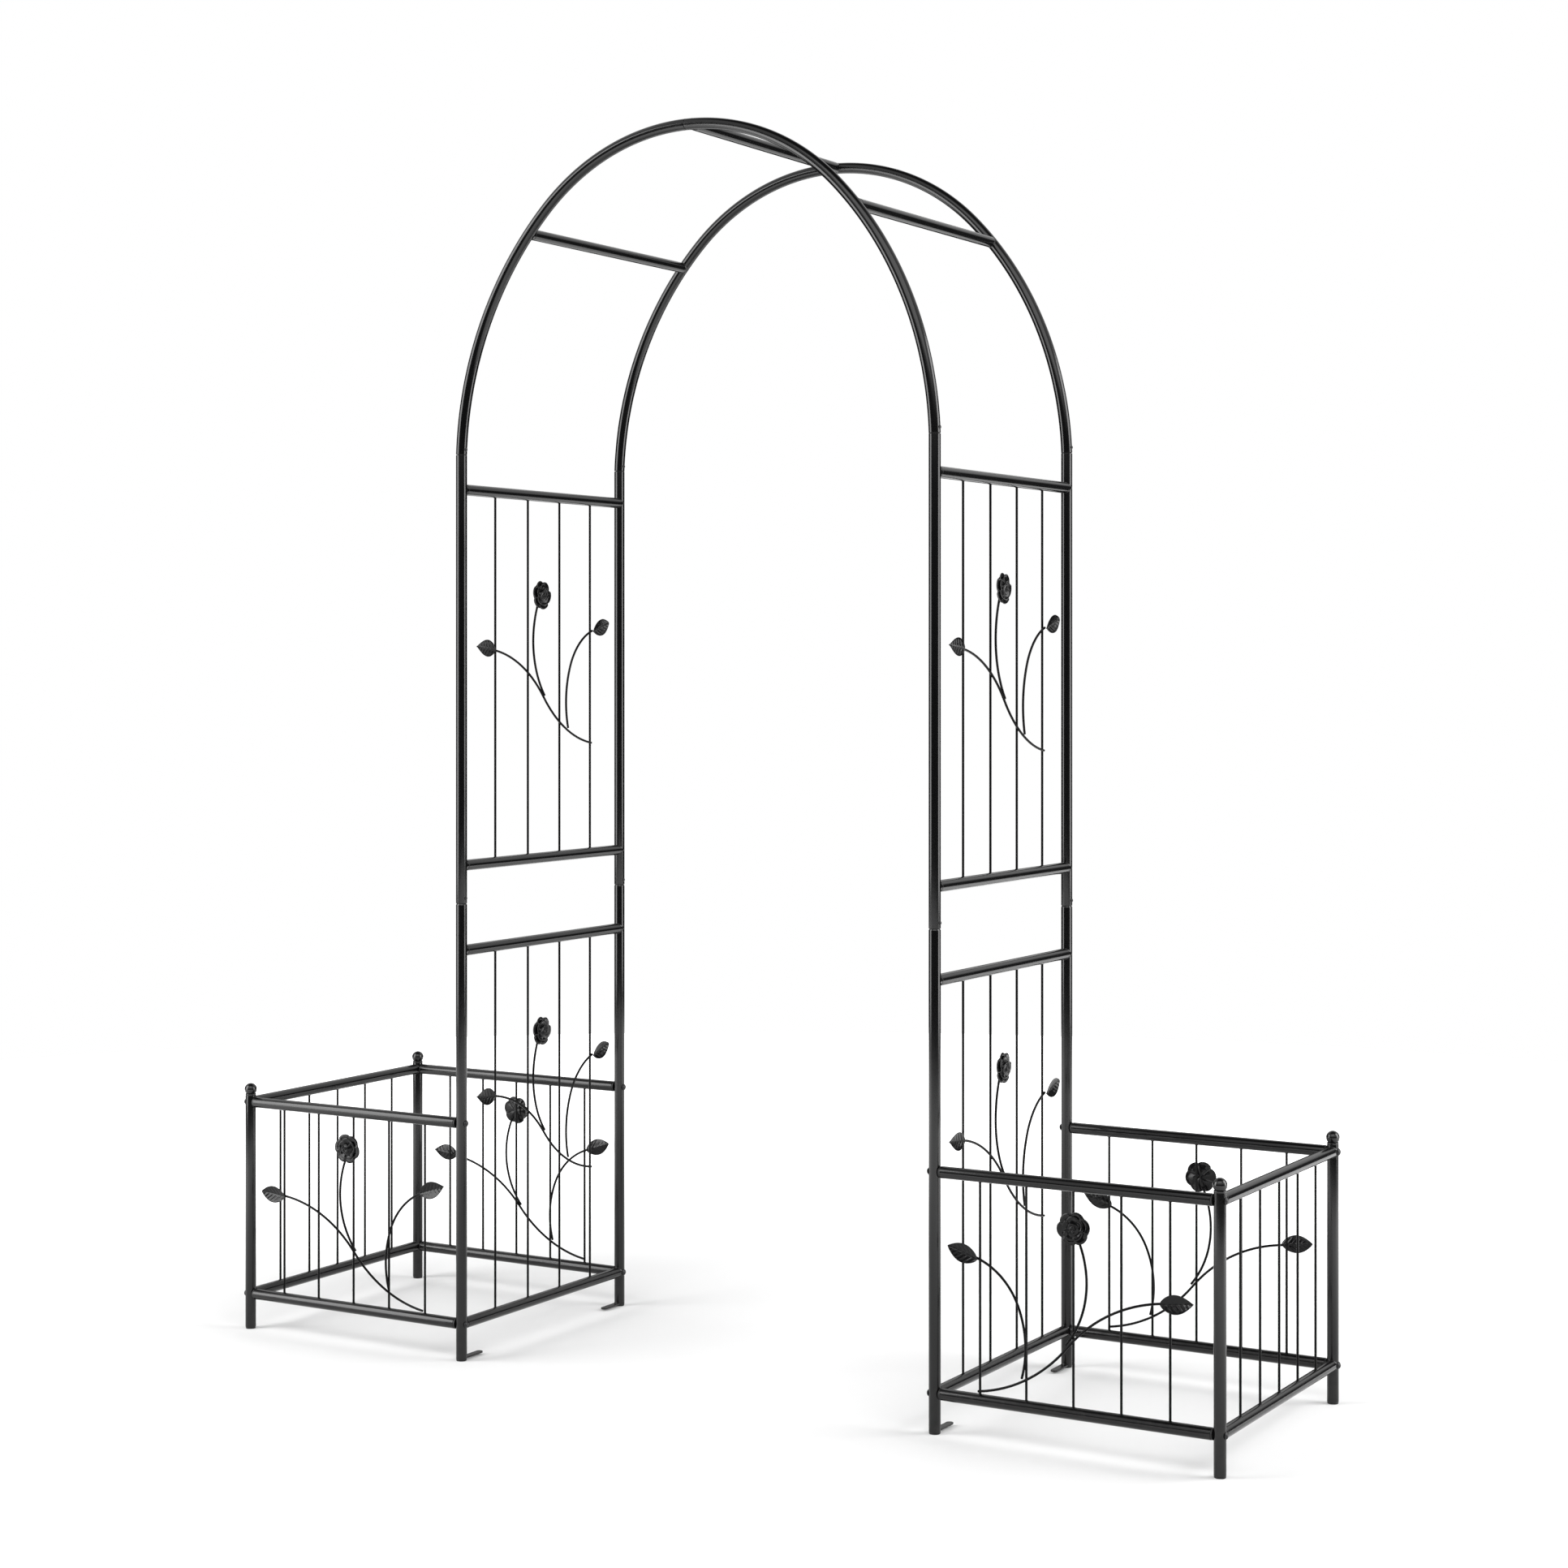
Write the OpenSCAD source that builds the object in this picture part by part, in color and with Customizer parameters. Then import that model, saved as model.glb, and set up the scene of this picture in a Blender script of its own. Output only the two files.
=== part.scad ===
// Garden arch with a planter basket on each side, in millimetres.
// X runs across the walk-through, Y from front to rear, Z up from the ground.

/* [Overall size] */
// Width of the walk-through, between post centres
arch_span = 920; // [760:10:1110]
// Distance between the front and rear post centres
depth = 490; // [400:5:600]
// Length of a planter basket, arch post centre to outer post centre
basket_length = 475; // [390:5:580]
// Rise of the arch, from its seam on the posts to its apex
arch_rise = 527; // [470:1:640]

/* [Heights above the ground] */
// Seam between the ladder posts and the arch
seam_z = 1565; // [1550:5:1900]
// Top bar of the upper ladder panel
upper_top_z = 1505; // [1250:5:1520]
// Bottom bar of the upper ladder panel
upper_bottom_z = 855; // [830:5:900]
// Joint between the lower and upper posts
mid_joint_z = 790; // [760:5:800]
// Top bar of the lower ladder panel
lower_top_z = 708; // [590:1:735]
// Top rail of the baskets
basket_top_z = 410; // [340:5:500]
// Bottom rail of the baskets and bottom bar of the ladders
basket_bottom_z = 63; // [50:1:76]

/* [Tube and wire] */
// Outside diameter of every tube
tube_od = 19; // [16:0.1:23]
// Wall of every tube
tube_wall = 1.2; // [1:0.1:1.5]
// Diameter of the upright rods
rod_d = 4; // [3:0.1:5]
// Diameter of the vine wires
wire_d = 4; // [3:0.1:5]
// Upright rods in a ladder panel
ladder_rods = 4; // [3:1:6]
// Upright rods in a basket panel
basket_rods = 5; // [3:1:7]

/* [Arch] */
// Inward lean of the arch where it meets the posts
arch_lean = 2; // [1:0.5:4]
// Angle at which the side curve passes into the tighter crown curve
blend_angle = 45; // [35:1:55]
// Angle along the side curve at which the side crossbars sit
side_bar_angle = 40; // [20:1:43]
// Distance of the top crossbar from the seam at the apex
top_bar_offset = 10; // [0:1:40]

/* [Joints] */
// Length of the reduced spigot that enters the next tube
spigot_len = 26; // [18:1:36]
// Height of the conical neck below a post spigot
neck_h = 2.5; // [1:0.1:4]
// Half length of the sleeve inside each apex seam
sleeve_half = 30; // [20:1:40]
// Distance of a joint screw above its seam
screw_rise = 9; // [7:0.5:14]
// Diameter of a joint screw
screw_d = 4; // [3:0.5:5]
// Diameter of a basket bolt
bolt_d = 6; // [5:0.5:6.5]
// Depth that a rail plug reaches into its rail
plug_len = 18; // [12:1:30]
// Width of the plug's flange, seen between rail and post
plug_flange = 2.8; // [2:0.1:4]
// Depth that a rod reaches into its bar
rod_seat = 5; // [3:0.5:6]

/* [Feet and finials] */
// Height of the outer posts above the top rail's centre
outer_post_rise = 12; // [10:0.5:20]
// Diameter of the ball finials
finial_d = 22; // [18:0.5:26]
// Thickness of a foot cap's flange
foot_t = 3; // [2:0.5:5]
// Reach of a foot tab from its post's centre
tab_reach = 57; // [40:1:80]
// Width of a foot tab
tab_w = 12; // [8:1:14]
// Thickness of a foot tab
tab_t = 3; // [2:0.5:5]

/* [Vines] */
// Width of the vine design, stem end to leaf tip
vine_w = 358; // [320:1:358]
// Height of the vine design, stem end to the top of the flower
vine_h = 296; // [290:1:296]
// Height of the upper ladder vine above its bottom bar
upper_vine_rise = 203; // [40:1:300]
// Height of the lower ladder vine above its bottom bar
lower_vine_rise = 213; // [40:1:300]
// Height of a basket vine above its bottom rail
basket_vine_rise = 14; // [12:0.5:20]
// Diameter of a flower
flower_d = 54; // [40:1:60]
// Petals in a flower's outer ring
petals = 6; // [5:1:8]
// Length of a leaf
leaf_len = 54; // [40:1:60]
// Width of a leaf
leaf_w = 28; // [18:1:34]
// Thickness of the sheet that flowers and leaves are pressed from
sheet_t = 1.2; // [0.8:0.1:2]

/* [Clearances] */
// Radial clearance of a spigot, sleeve or plug in its tube
slip_fit = 0.15; // [0.1:0.05:0.3]
// Radial clearance of a bolt or screw in its hole
hole_fit = 0.2; // [0.1:0.05:0.4]
// Gap left at a welded seam
weld_gap = 0.25; // [0.1:0.05:0.4]
// Clear space that a vine keeps inside its panel
vine_clear = 15; // [5:1:20]

/* [Hidden] */
$fn = 64;
wire_sides = 12;                   // flats round a bent wire
wire_step = 6;                     // degrees of bend a facet covers

tube_r = tube_od / 2;
tube_ri = tube_r - tube_wall;
chamfer = 0.8;                     // cut corner at a bar's end
collar_r = tube_r - 0.5;           // weld collar and plug flange
post_x = arch_span / 2;
post_y = depth / 2;
outer_x = post_x + basket_length;
ladder_pitch = depth / (ladder_rods + 1);
basket_pitch = basket_length / (basket_rods + 1);
end_pitch = depth / (basket_rods + 1);
outer_top_z = basket_top_z + outer_post_rise;
rail_inset = tube_r + weld_gap + plug_flange;
bar_inset = tube_r + 2 * weld_gap;
hidden_end = tube_r - rod_seat;    // rod end, measured from its bar's centre

// The arch: a side curve that leaves the post at arch_lean and a crown curve
// that meets it at blend_angle with a common tangent.
cb = cos(blend_angle);
sb = sin(blend_angle);
cl = cos(arch_lean);
sl = sin(arch_lean);
arch_det = (cl - cb) * (1 - sb) - cb * (sb - sl);
side_r = (post_x * (1 - sb) - cb * arch_rise) / arch_det;
crown_r = ((cl - cb) * arch_rise - (sb - sl) * post_x) / arch_det;
side_centre = [post_x - side_r * cl, seam_z - side_r * sl];
crown_centre = [0, seam_z + arch_rise - crown_r];
apex_gap = 0.25 / crown_r * 180 / PI;
top_bar_angle = 90 - top_bar_offset / crown_r * 180 / PI;
function side_point(a) = side_centre + side_r * [cos(a), sin(a)];
function crown_point(a) = crown_centre + crown_r * [cos(a), sin(a)];

// Spigots: snug in the upper post, and slim enough for the leaning arch.
spigot_r = tube_ri - slip_fit;
arch_spigot_r = tube_ri - slip_fit - spigot_len * tan(arch_lean) - pow(spigot_len, 2) / (2 * side_r);
post_top_z = seam_z - tube_r * sl - weld_gap;
seam_screw_angle = arch_lean + screw_rise / side_r * 180 / PI;

// Vine design, drawn with its stem end at the origin: each wire is a chain of
// tangent arcs through its points, and the stem leaves the origin at stem_dir.
stem_dir = 172;
stem_points = [[0, 0], [-77, 25], [-152, 86], [-311, 171]];
flower_stem_points = [[-184, 188], [-170, 252]];
leaf_stem_points = [[-68, 142], [3, 207]];
leaf_stem_turn = 46;
flower_centre = [-164, 269];
leaf_lap = 5;
wire_offset = rod_d / 2 + wire_d / 2 + weld_gap;
face_offset = wire_d / 2 + weld_gap;
ladder_room = depth - ladder_pitch - tube_r;
basket_room = basket_length - basket_pitch - tube_r;
basket_height = basket_top_z - basket_bottom_z - tube_od;
function vine_scale(w, h) = min(1, (w - vine_clear) / vine_w, (h - vine_clear) / vine_h);
upper_scale = vine_scale(ladder_room, upper_top_z - upper_bottom_z - tube_od - upper_vine_rise);
lower_scale = vine_scale(ladder_room, lower_top_z - basket_bottom_z - tube_od - lower_vine_rise);
basket_scale = vine_scale(basket_room, basket_height);

SIDES = [["left", -1], ["right", 1]];
ROWS = [["front", -1], ["rear", 1]];
LEVELS = ["upper", "lower"];
POST_NODES = ["lower_post", "upper_post", "arch_arc", "outer_post"];
LADDER_NODES = ["ladder_bars", "ladder_rods", "ladder_vine"];
BASKET_NODES = ["basket_rails", "basket_rods", "basket_vine"];
END_NODES = ["basket_end_rails", "basket_end_rods"];

// ---- Directions and curves ----

function unit(a) = [cos(a), sin(a)];
function heading(v) = atan2(v[1], v[0]);
function wrapped(a) = a > 180 ? a - 360 : a <= -180 ? a + 360 : a;
function turn(p, q, dir) = 2 * wrapped(heading(q - p) - dir);
// Heading of a chain of tangent arcs when it reaches point n
function chain_dir(pts, dir, n) =
    n == 0 ? dir : chain_dir(pts, dir, n - 1) + turn(pts[n - 1], pts[n], chain_dir(pts, dir, n - 1));

// Centres and headings along one tangent arc from p to q, every wire_step degrees or less
function arc_stations(p, q, from) =
    let (swing = turn(p, q, from), r = norm(q - p) / 2 / sin(swing / 2),
         centre = p + r * unit(from + 90), n = ceil(abs(swing) / wire_step))
    [for (i = [1:n]) let (h = from + swing * i / n) [centre - r * unit(h + 90), h]];

// Wire of diameter wire_d along the chain of tangent arcs, as one closed sweep
module wire(pts, dir) {
    stations = concat([[pts[0], dir]],
        [for (i = [1:len(pts) - 1]) each arc_stations(pts[i - 1], pts[i], chain_dir(pts, dir, i - 1))]);
    last = len(stations) - 1;
    n = wire_sides;
    polyhedron(
        points = [for (s = stations, j = [0:n - 1])
            let (a = 360 * j / n)
            concat(s[0] + wire_d / 2 * cos(a) * unit(s[1] - 90), wire_d / 2 * sin(a))],
        faces = concat(
            [[for (j = [0:n - 1]) j]],
            [for (i = [0:last - 1], j = [0:n - 1])
                [i * n + j, (i + 1) * n + j, (i + 1) * n + (j + 1) % n, i * n + (j + 1) % n]],
            [[for (j = [n - 1:-1:0]) last * n + j]]));
}

// ---- Tubes ----

// Tube between two welded or bolted ends, along Y and centred, with rod holes.
// half is half its length, face is the side on which the rods enter (1 up, -1 down).
module bar(half, face = 0, holes = []) {
    difference() {
        rotate([90, 0, 0]) rotate_extrude() polygon([
            [tube_ri, -half], [tube_r - chamfer, -half], [tube_r, -half + chamfer],
            [tube_r, half - chamfer], [tube_r - chamfer, half], [tube_ri, half]]);
        for (y = holes) translate([0, y, face > 0 ? 0 : -tube_od])
            cylinder(d = rod_d + 2 * slip_fit, h = tube_od, $fn = 24);
    }
}

// Bar welded between two tubes whose centres are reach apart; the weld collar
// at each end is coped to the tube, which leans by tilt about Y.
module welded_bar(reach, face = 0, holes = [], tilt = 0) {
    bar(reach / 2 - bar_inset, face, holes);
    difference() {
        for (e = [-1, 1]) translate([0, e * reach / 2, 0]) rotate([e * 90, 0, 0])
            difference() {
                cylinder(r = collar_r, h = bar_inset);
                translate([0, 0, -1]) cylinder(r = tube_ri, h = bar_inset + 2);
            }
        for (e = [-1, 1]) translate([0, e * reach / 2, 0]) rotate([0, tilt, 0])
            cylinder(r = tube_r + weld_gap, h = 3 * tube_od, center = true);
    }
}

// Rods between two bars at heights low and high, at positions ys along Y
module rods(ys, low, high) {
    for (y = ys) translate([0, y, low + hidden_end])
        cylinder(d = rod_d, h = high - low - 2 * hidden_end, $fn = 24);
}

function spread(n, pitch) = [for (i = [1:n]) (i - (n + 1) / 2) * pitch];

module at_post(s, r) { translate([s * post_x, r * post_y, 0]) children(); }
module at_outer_post(s, r) { translate([s * outer_x, r * post_y, 0]) children(); }
module at_seam_screw(s, r) {
    p = side_point(seam_screw_angle);
    translate([s * p[0], r * post_y, p[1]]) rotate([0, -s * seam_screw_angle, 0]) children();
}
module at_mid_screw(s, r) { at_post(s, r) translate([0, 0, mid_joint_z + screw_rise]) children(); }
module screw_hole() { rotate([0, 90, 0]) cylinder(d = screw_d + 2 * hole_fit, h = tube_od, $fn = 24); }
module bolt_hole(z) {
    translate([0, 0, z]) rotate([0, 90, 0])
        cylinder(d = bolt_d + 2 * hole_fit, h = 2 * tube_od, center = true, $fn = 32);
}

// ---- Posts and arch ----

module lower_post(s, r) {
    shoulder = mid_joint_z - neck_h;
    top = mid_joint_z + spigot_len;
    bore = spigot_r - tube_wall;
    color("#1b1b1c") difference() {
        at_post(s, r) rotate_extrude() polygon([
            [tube_ri, foot_t], [tube_r, foot_t], [tube_r, shoulder], [spigot_r, mid_joint_z],
            [spigot_r, top], [bore, top], [bore, mid_joint_z], [tube_ri, shoulder]]);
        at_post(s, r) bolt_hole(basket_top_z);
        at_post(s, r) bolt_hole(basket_bottom_z);
        at_mid_screw(s, r) screw_hole();
    }
}

module upper_post(s, r) {
    top = post_top_z + spigot_len;
    bore = arch_spigot_r - tube_wall;
    color("#1b1b1c") difference() {
        at_post(s, r) rotate_extrude() polygon([
            [tube_ri, mid_joint_z], [tube_r, mid_joint_z], [tube_r, post_top_z],
            [arch_spigot_r, post_top_z], [arch_spigot_r, top], [bore, top],
            [bore, post_top_z - tube_wall], [tube_ri, post_top_z - neck_h - tube_wall]]);
        at_mid_screw(s, r) screw_hole();
        at_seam_screw(s, r) screw_hole();
    }
}

// Tube that leaves the origin along +y and bends through angle about [-r, 0]
module bend(r, angle, outer, inner) {
    translate([-r, 0, 0]) rotate_extrude(angle = angle) translate([r, 0]) difference() {
        circle(r = outer);
        circle(r = inner);
    }
}

// Frame of the crown curve at angle a: x outwards and y along the curve
module on_crown(a) {
    p = crown_point(a);
    translate([p[0], 0, p[1]]) rotate([90, 0, 0]) rotate([0, 0, a]) children();
}

module arch_arc(s, r) {
    color("#1b1b1c") difference() {
        translate([0, r * post_y, 0]) mirror([s < 0 ? 1 : 0, 0, 0]) on_crown(blend_angle) {
            bend(crown_r, 90 - apex_gap - blend_angle, tube_r, tube_ri);
            mirror([0, 1, 0]) bend(side_r, blend_angle - arch_lean, tube_r, tube_ri);
        }
        at_seam_screw(s, r) screw_hole();
    }
}

module apex_sleeves() {
    half_angle = sleeve_half / crown_r * 180 / PI;
    color("#2a2a2b") for (r = [-1, 1]) translate([0, r * post_y, 0])
        on_crown(90 - half_angle) bend(crown_r, 2 * half_angle, spigot_r, spigot_r - tube_wall);
}

module side_crossbar(s) {
    p = side_point(side_bar_angle);
    color("#1b1b1c") translate([s * p[0], 0, p[1]]) welded_bar(depth, tilt = -s * side_bar_angle);
}

module arch_left_crossbar() { side_crossbar(-1); }
module arch_right_crossbar() { side_crossbar(1); }

module arch_top_crossbar() {
    p = crown_point(top_bar_angle);
    color("#1b1b1c") translate([p[0], 0, p[1]]) welded_bar(depth, tilt = -top_bar_angle);
}

module outer_post(s, r) {
    color("#1b1b1c") at_outer_post(s, r) difference() {
        translate([0, 0, foot_t]) cylinder(r = tube_r, h = outer_top_z - foot_t);
        translate([0, 0, foot_t - 1]) cylinder(r = tube_ri, h = outer_top_z - foot_t + 2);
        bolt_hole(basket_top_z);
        bolt_hole(basket_bottom_z);
    }
}

// ---- Ladder panels ----

function panel_low(l) = l == "upper" ? upper_bottom_z : basket_bottom_z;
function panel_high(l) = l == "upper" ? upper_top_z : lower_top_z;

module ladder_bars(s, l) {
    ys = spread(ladder_rods, ladder_pitch);
    color("#1b1b1c") translate([s * post_x, 0, 0]) {
        translate([0, 0, panel_low(l)]) welded_bar(depth, 1, ys);
        translate([0, 0, panel_high(l)]) welded_bar(depth, -1, ys);
    }
}

module ladder_rods(s, l) {
    color("#161617") translate([s * post_x, 0, 0])
        rods(spread(ladder_rods, ladder_pitch), panel_low(l), panel_high(l));
}

// ---- Baskets ----

module basket_rails(s, r) {
    xs = spread(basket_rods, basket_pitch);
    half = basket_length / 2 - rail_inset;
    color("#1b1b1c") translate([s * (post_x + outer_x) / 2, r * post_y, 0]) {
        translate([0, 0, basket_bottom_z]) rotate(90) bar(half, 1, xs);
        translate([0, 0, basket_top_z]) rotate(90) bar(half, -1, xs);
    }
}

module basket_rods(s, r) {
    color("#161617") translate([s * (post_x + outer_x) / 2, r * post_y, 0])
        rotate(90) rods(spread(basket_rods, basket_pitch), basket_bottom_z, basket_top_z);
}

module basket_end_rails(s) {
    ys = spread(basket_rods, end_pitch);
    color("#1b1b1c") translate([s * outer_x, 0, 0]) {
        translate([0, 0, basket_bottom_z]) welded_bar(depth, 1, ys);
        translate([0, 0, basket_top_z]) welded_bar(depth, -1, ys);
    }
}

module basket_end_rods(s) {
    color("#161617") translate([s * outer_x, 0, 0])
        rods(spread(basket_rods, end_pitch), basket_bottom_z, basket_top_z);
}

// ---- Vines, flowers and leaves ----

module vine(k) {
    stem = k * stem_points;
    fork = chain_dir(stem, stem_dir, 1);
    split = chain_dir(stem, stem_dir, 2);
    beside = wire_d + weld_gap;
    wire(stem, stem_dir);
    wire(concat([stem[2] + beside * unit(split - 90)], k * flower_stem_points), split);
    wire(concat([stem[1] + beside * unit(fork - 90)], k * leaf_stem_points), fork - leaf_stem_turn);
}

// Plane of a ladder vine: its design's x runs to the rear, its face towards +X
module on_ladder(s, l) {
    rise = l == "upper" ? upper_vine_rise : lower_vine_rise;
    translate([s * post_x + wire_offset, post_y - ladder_pitch, panel_low(l) + rise])
        rotate([90, 0, 90]) children();
}

// Plane of a basket vine: its design spreads from the arch post to the outer
// post, and its face looks away from the basket
module on_basket(s, r) {
    mirror([s > 0 ? 1 : 0, 0, 0]) mirror([0, r > 0 ? 1 : 0, 0])
        translate([-post_x - basket_pitch, -post_y - wire_offset, basket_bottom_z + basket_vine_rise])
            rotate([90, 0, 0]) children();
}

function ladder_scale(l) = l == "upper" ? upper_scale : lower_scale;

module ladder_vine(s, l) { color("#161617") on_ladder(s, l) vine(ladder_scale(l)); }
module basket_vine(s, r) { color("#161617") on_basket(s, r) vine(basket_scale); }

// Rosette of two petal rings and a domed heart, back at z = 0
module flower() {
    outer_r = flower_d / 2 * 0.46;
    inner_r = flower_d / 2 * 0.32;
    heart_r = flower_d * 0.13;
    linear_extrude(2 * sheet_t) {
        circle(r = flower_d / 4);
        for (i = [0:petals - 1]) rotate(i * 360 / petals)
            translate([flower_d / 2 - outer_r, 0]) circle(r = outer_r, $fn = 32);
    }
    translate([0, 0, 2 * sheet_t]) linear_extrude(2 * sheet_t) {
        circle(r = flower_d / 5);
        for (i = [0:petals - 2]) rotate(i * 360 / (petals - 1))
            translate([flower_d / 3 - inner_r, 0]) circle(r = inner_r, $fn = 32);
    }
    translate([0, 0, 4 * sheet_t]) intersection() {
        sphere(r = heart_r);
        cylinder(r = heart_r + 1, h = heart_r + 1);
    }
}

// Leaf with a rib, its base leaf_lap behind the origin, pointing along +x
module leaf() {
    half = leaf_len / 2;
    r = (pow(half, 2) + pow(leaf_w / 2, 2)) / leaf_w;
    translate([-leaf_lap, 0, 0]) {
        linear_extrude(sheet_t) intersection() {
            translate([half, r - leaf_w / 2]) circle(r = r);
            translate([half, leaf_w / 2 - r]) circle(r = r);
        }
        translate([leaf_lap, 0, sheet_t]) rotate([0, 90, 0])
            cylinder(r = sheet_t * 0.7, h = leaf_len - 3 * leaf_lap, $fn = 24);
    }
}

module flower_on_vine(k) { translate(concat(k * flower_centre, face_offset)) flower(); }

module leaves_on_vine(k) {
    stem = k * stem_points;
    tip = len(stem) - 1;
    fork = chain_dir(stem, stem_dir, 1) - leaf_stem_turn;
    branch = concat([stem[1]], k * leaf_stem_points);
    translate(concat(stem[tip], face_offset)) rotate(chain_dir(stem, stem_dir, tip)) leaf();
    translate(concat(branch[2], face_offset)) rotate(chain_dir(branch, fork, 2)) leaf();
}

module ladder_flowers() {
    color("#121213") for (s = [-1, 1], l = LEVELS) on_ladder(s, l) flower_on_vine(ladder_scale(l));
}
module basket_flowers() {
    color("#121213") for (s = [-1, 1], r = [-1, 1]) on_basket(s, r) flower_on_vine(basket_scale);
}
module ladder_leaves() {
    color("#121213") for (s = [-1, 1], l = LEVELS) on_ladder(s, l) leaves_on_vine(ladder_scale(l));
}
module basket_leaves() {
    color("#121213") for (s = [-1, 1], r = [-1, 1]) on_basket(s, r) leaves_on_vine(basket_scale);
}

// ---- Small parts ----

// Ball finial with a collar, pushed into the top of an outer post
module post_finials() {
    collar_t = 3;
    plug_r = tube_ri - slip_fit;
    plug_h = outer_post_rise - bolt_d / 2 - 4 * hole_fit;
    color("#151516") for (s = [-1, 1], r = [-1, 1]) at_outer_post(s, r) translate([0, 0, outer_top_z]) {
        cylinder(r = tube_r, h = collar_t);
        translate([0, 0, finial_d / 2]) sphere(d = finial_d);
        translate([0, 0, -plug_h]) cylinder(r = plug_r, h = plug_h + 0.5);
    }
}

module foot_cap() {
    plug_r = tube_ri - slip_fit;
    rotate_extrude() polygon([
        [0, 0], [collar_r - chamfer, 0], [collar_r, chamfer], [collar_r, foot_t],
        [plug_r, foot_t], [plug_r, foot_t + plug_len], [0, foot_t + plug_len]]);
}

module foot_caps() {
    color("#101011") for (s = [-1, 1], r = [-1, 1]) {
        at_post(s, r) foot_cap();
        at_outer_post(s, r) foot_cap();
    }
}

// Flat tab welded to the foot of each arch post, pointing into the arch's depth
module foot_tabs() {
    color("#1b1b1c") for (s = [-1, 1], r = [-1, 1]) at_post(s, r) mirror([0, r > 0 ? 1 : 0, 0])
        translate([0, 0, foot_t]) linear_extrude(tab_t) difference() {
            union() {
                translate([-tab_w / 2, 0]) square([tab_w, tab_reach - tab_w / 2]);
                translate([0, tab_reach - tab_w / 2]) circle(d = tab_w);
            }
            circle(r = tube_r + weld_gap);
        }
}

// The two ends of each bolted rail: children face from the post along +X
module at_rail_ends() {
    for (s = [-1, 1], r = [-1, 1], z = [basket_bottom_z, basket_top_z]) {
        at_post(s, r) translate([0, 0, z]) mirror([s < 0 ? 1 : 0, 0, 0]) children();
        at_outer_post(s, r) translate([0, 0, z]) mirror([s > 0 ? 1 : 0, 0, 0]) children();
    }
}

module rail_plugs() {
    color("#101011") at_rail_ends() rotate([0, 90, 0]) difference() {
        union() {
            translate([0, 0, tube_r + weld_gap]) cylinder(r = collar_r, h = plug_flange);
            translate([0, 0, rail_inset]) cylinder(r = tube_ri - slip_fit, h = plug_len);
        }
        cylinder(d = bolt_d + hole_fit, h = rail_inset + plug_len + 1, $fn = 32);
    }
}

// Domed head of radius r and height h, its flat underside at z = 0
module dome(r, h) {
    ball = (r * r + h * h) / (2 * h);
    intersection() {
        translate([0, 0, h - ball]) sphere(r = ball);
        cylinder(r = r + 1, h = h + 1);
    }
}

module rail_bolts() {
    under = tube_r + hole_fit / 4;
    color("#232324") at_rail_ends() rotate([0, -90, 0]) translate([0, 0, under]) {
        dome(bolt_d, 0.6 * bolt_d);
        translate([0, 0, -under - rail_inset - plug_len + 1])
            cylinder(d = bolt_d, h = under + rail_inset + plug_len, $fn = 32);
    }
}

module joint_screw() {
    under = tube_r + hole_fit / 4;
    rotate([0, 90, 0]) translate([0, 0, under]) {
        dome(0.85 * screw_d, 0.5 * screw_d);
        translate([0, 0, -2 * screw_d]) cylinder(d = screw_d, h = 2 * screw_d + 0.5, $fn = 24);
    }
}

module joint_screws() {
    color("#232324") for (s = [-1, 1], r = [-1, 1]) {
        at_mid_screw(s, r) joint_screw();
        at_seam_screw(s, r) joint_screw();
    }
}

// ---- Assembly ----

for (s = SIDES, r = ROWS) {
    lower_post(s[1], r[1]);
    upper_post(s[1], r[1]);
    arch_arc(s[1], r[1]);
    outer_post(s[1], r[1]);
    basket_rails(s[1], r[1]);
    basket_rods(s[1], r[1]);
    basket_vine(s[1], r[1]);
}
for (s = SIDES, l = LEVELS) {
    ladder_bars(s[1], l);
    ladder_rods(s[1], l);
    ladder_vine(s[1], l);
}
for (s = SIDES) {
    basket_end_rails(s[1]);
    basket_end_rods(s[1]);
}
arch_left_crossbar();
arch_top_crossbar();
arch_right_crossbar();
apex_sleeves();
ladder_flowers();
basket_flowers();
ladder_leaves();
basket_leaves();
post_finials();
foot_caps();
foot_tabs();
rail_plugs();
rail_bolts();
joint_screws();
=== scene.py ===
"""Finished looks for a powder-coated garden trellis arch with two planter baskets."""

import math

import bpy
import numpy as np
from bpy.props import FloatProperty, FloatVectorProperty, IntProperty, PointerProperty
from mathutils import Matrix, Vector


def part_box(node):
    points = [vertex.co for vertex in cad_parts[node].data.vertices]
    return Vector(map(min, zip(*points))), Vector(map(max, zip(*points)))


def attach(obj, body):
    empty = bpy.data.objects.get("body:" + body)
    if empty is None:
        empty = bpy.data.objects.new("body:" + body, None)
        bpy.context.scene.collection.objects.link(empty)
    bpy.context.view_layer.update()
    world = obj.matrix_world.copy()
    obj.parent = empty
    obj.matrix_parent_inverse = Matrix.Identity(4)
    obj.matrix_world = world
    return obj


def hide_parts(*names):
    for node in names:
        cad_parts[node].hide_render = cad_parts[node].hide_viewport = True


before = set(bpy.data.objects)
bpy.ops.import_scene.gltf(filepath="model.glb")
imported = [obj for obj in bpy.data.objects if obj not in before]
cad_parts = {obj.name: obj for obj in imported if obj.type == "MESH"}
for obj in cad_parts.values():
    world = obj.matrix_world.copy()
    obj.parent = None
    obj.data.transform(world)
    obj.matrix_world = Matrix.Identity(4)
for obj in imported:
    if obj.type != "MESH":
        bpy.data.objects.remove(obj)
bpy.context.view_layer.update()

bl_info = {
    "name": "Trellis arch finish",
    "version": (1, 0, 0),
    "blender": (4, 5, 0),
    "location": "3D View > Sidebar > Trellis arch",
    "description": "Coated tubes, rods, vines, fittings and studio of a garden trellis arch",
    "category": "Object",
}

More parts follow.
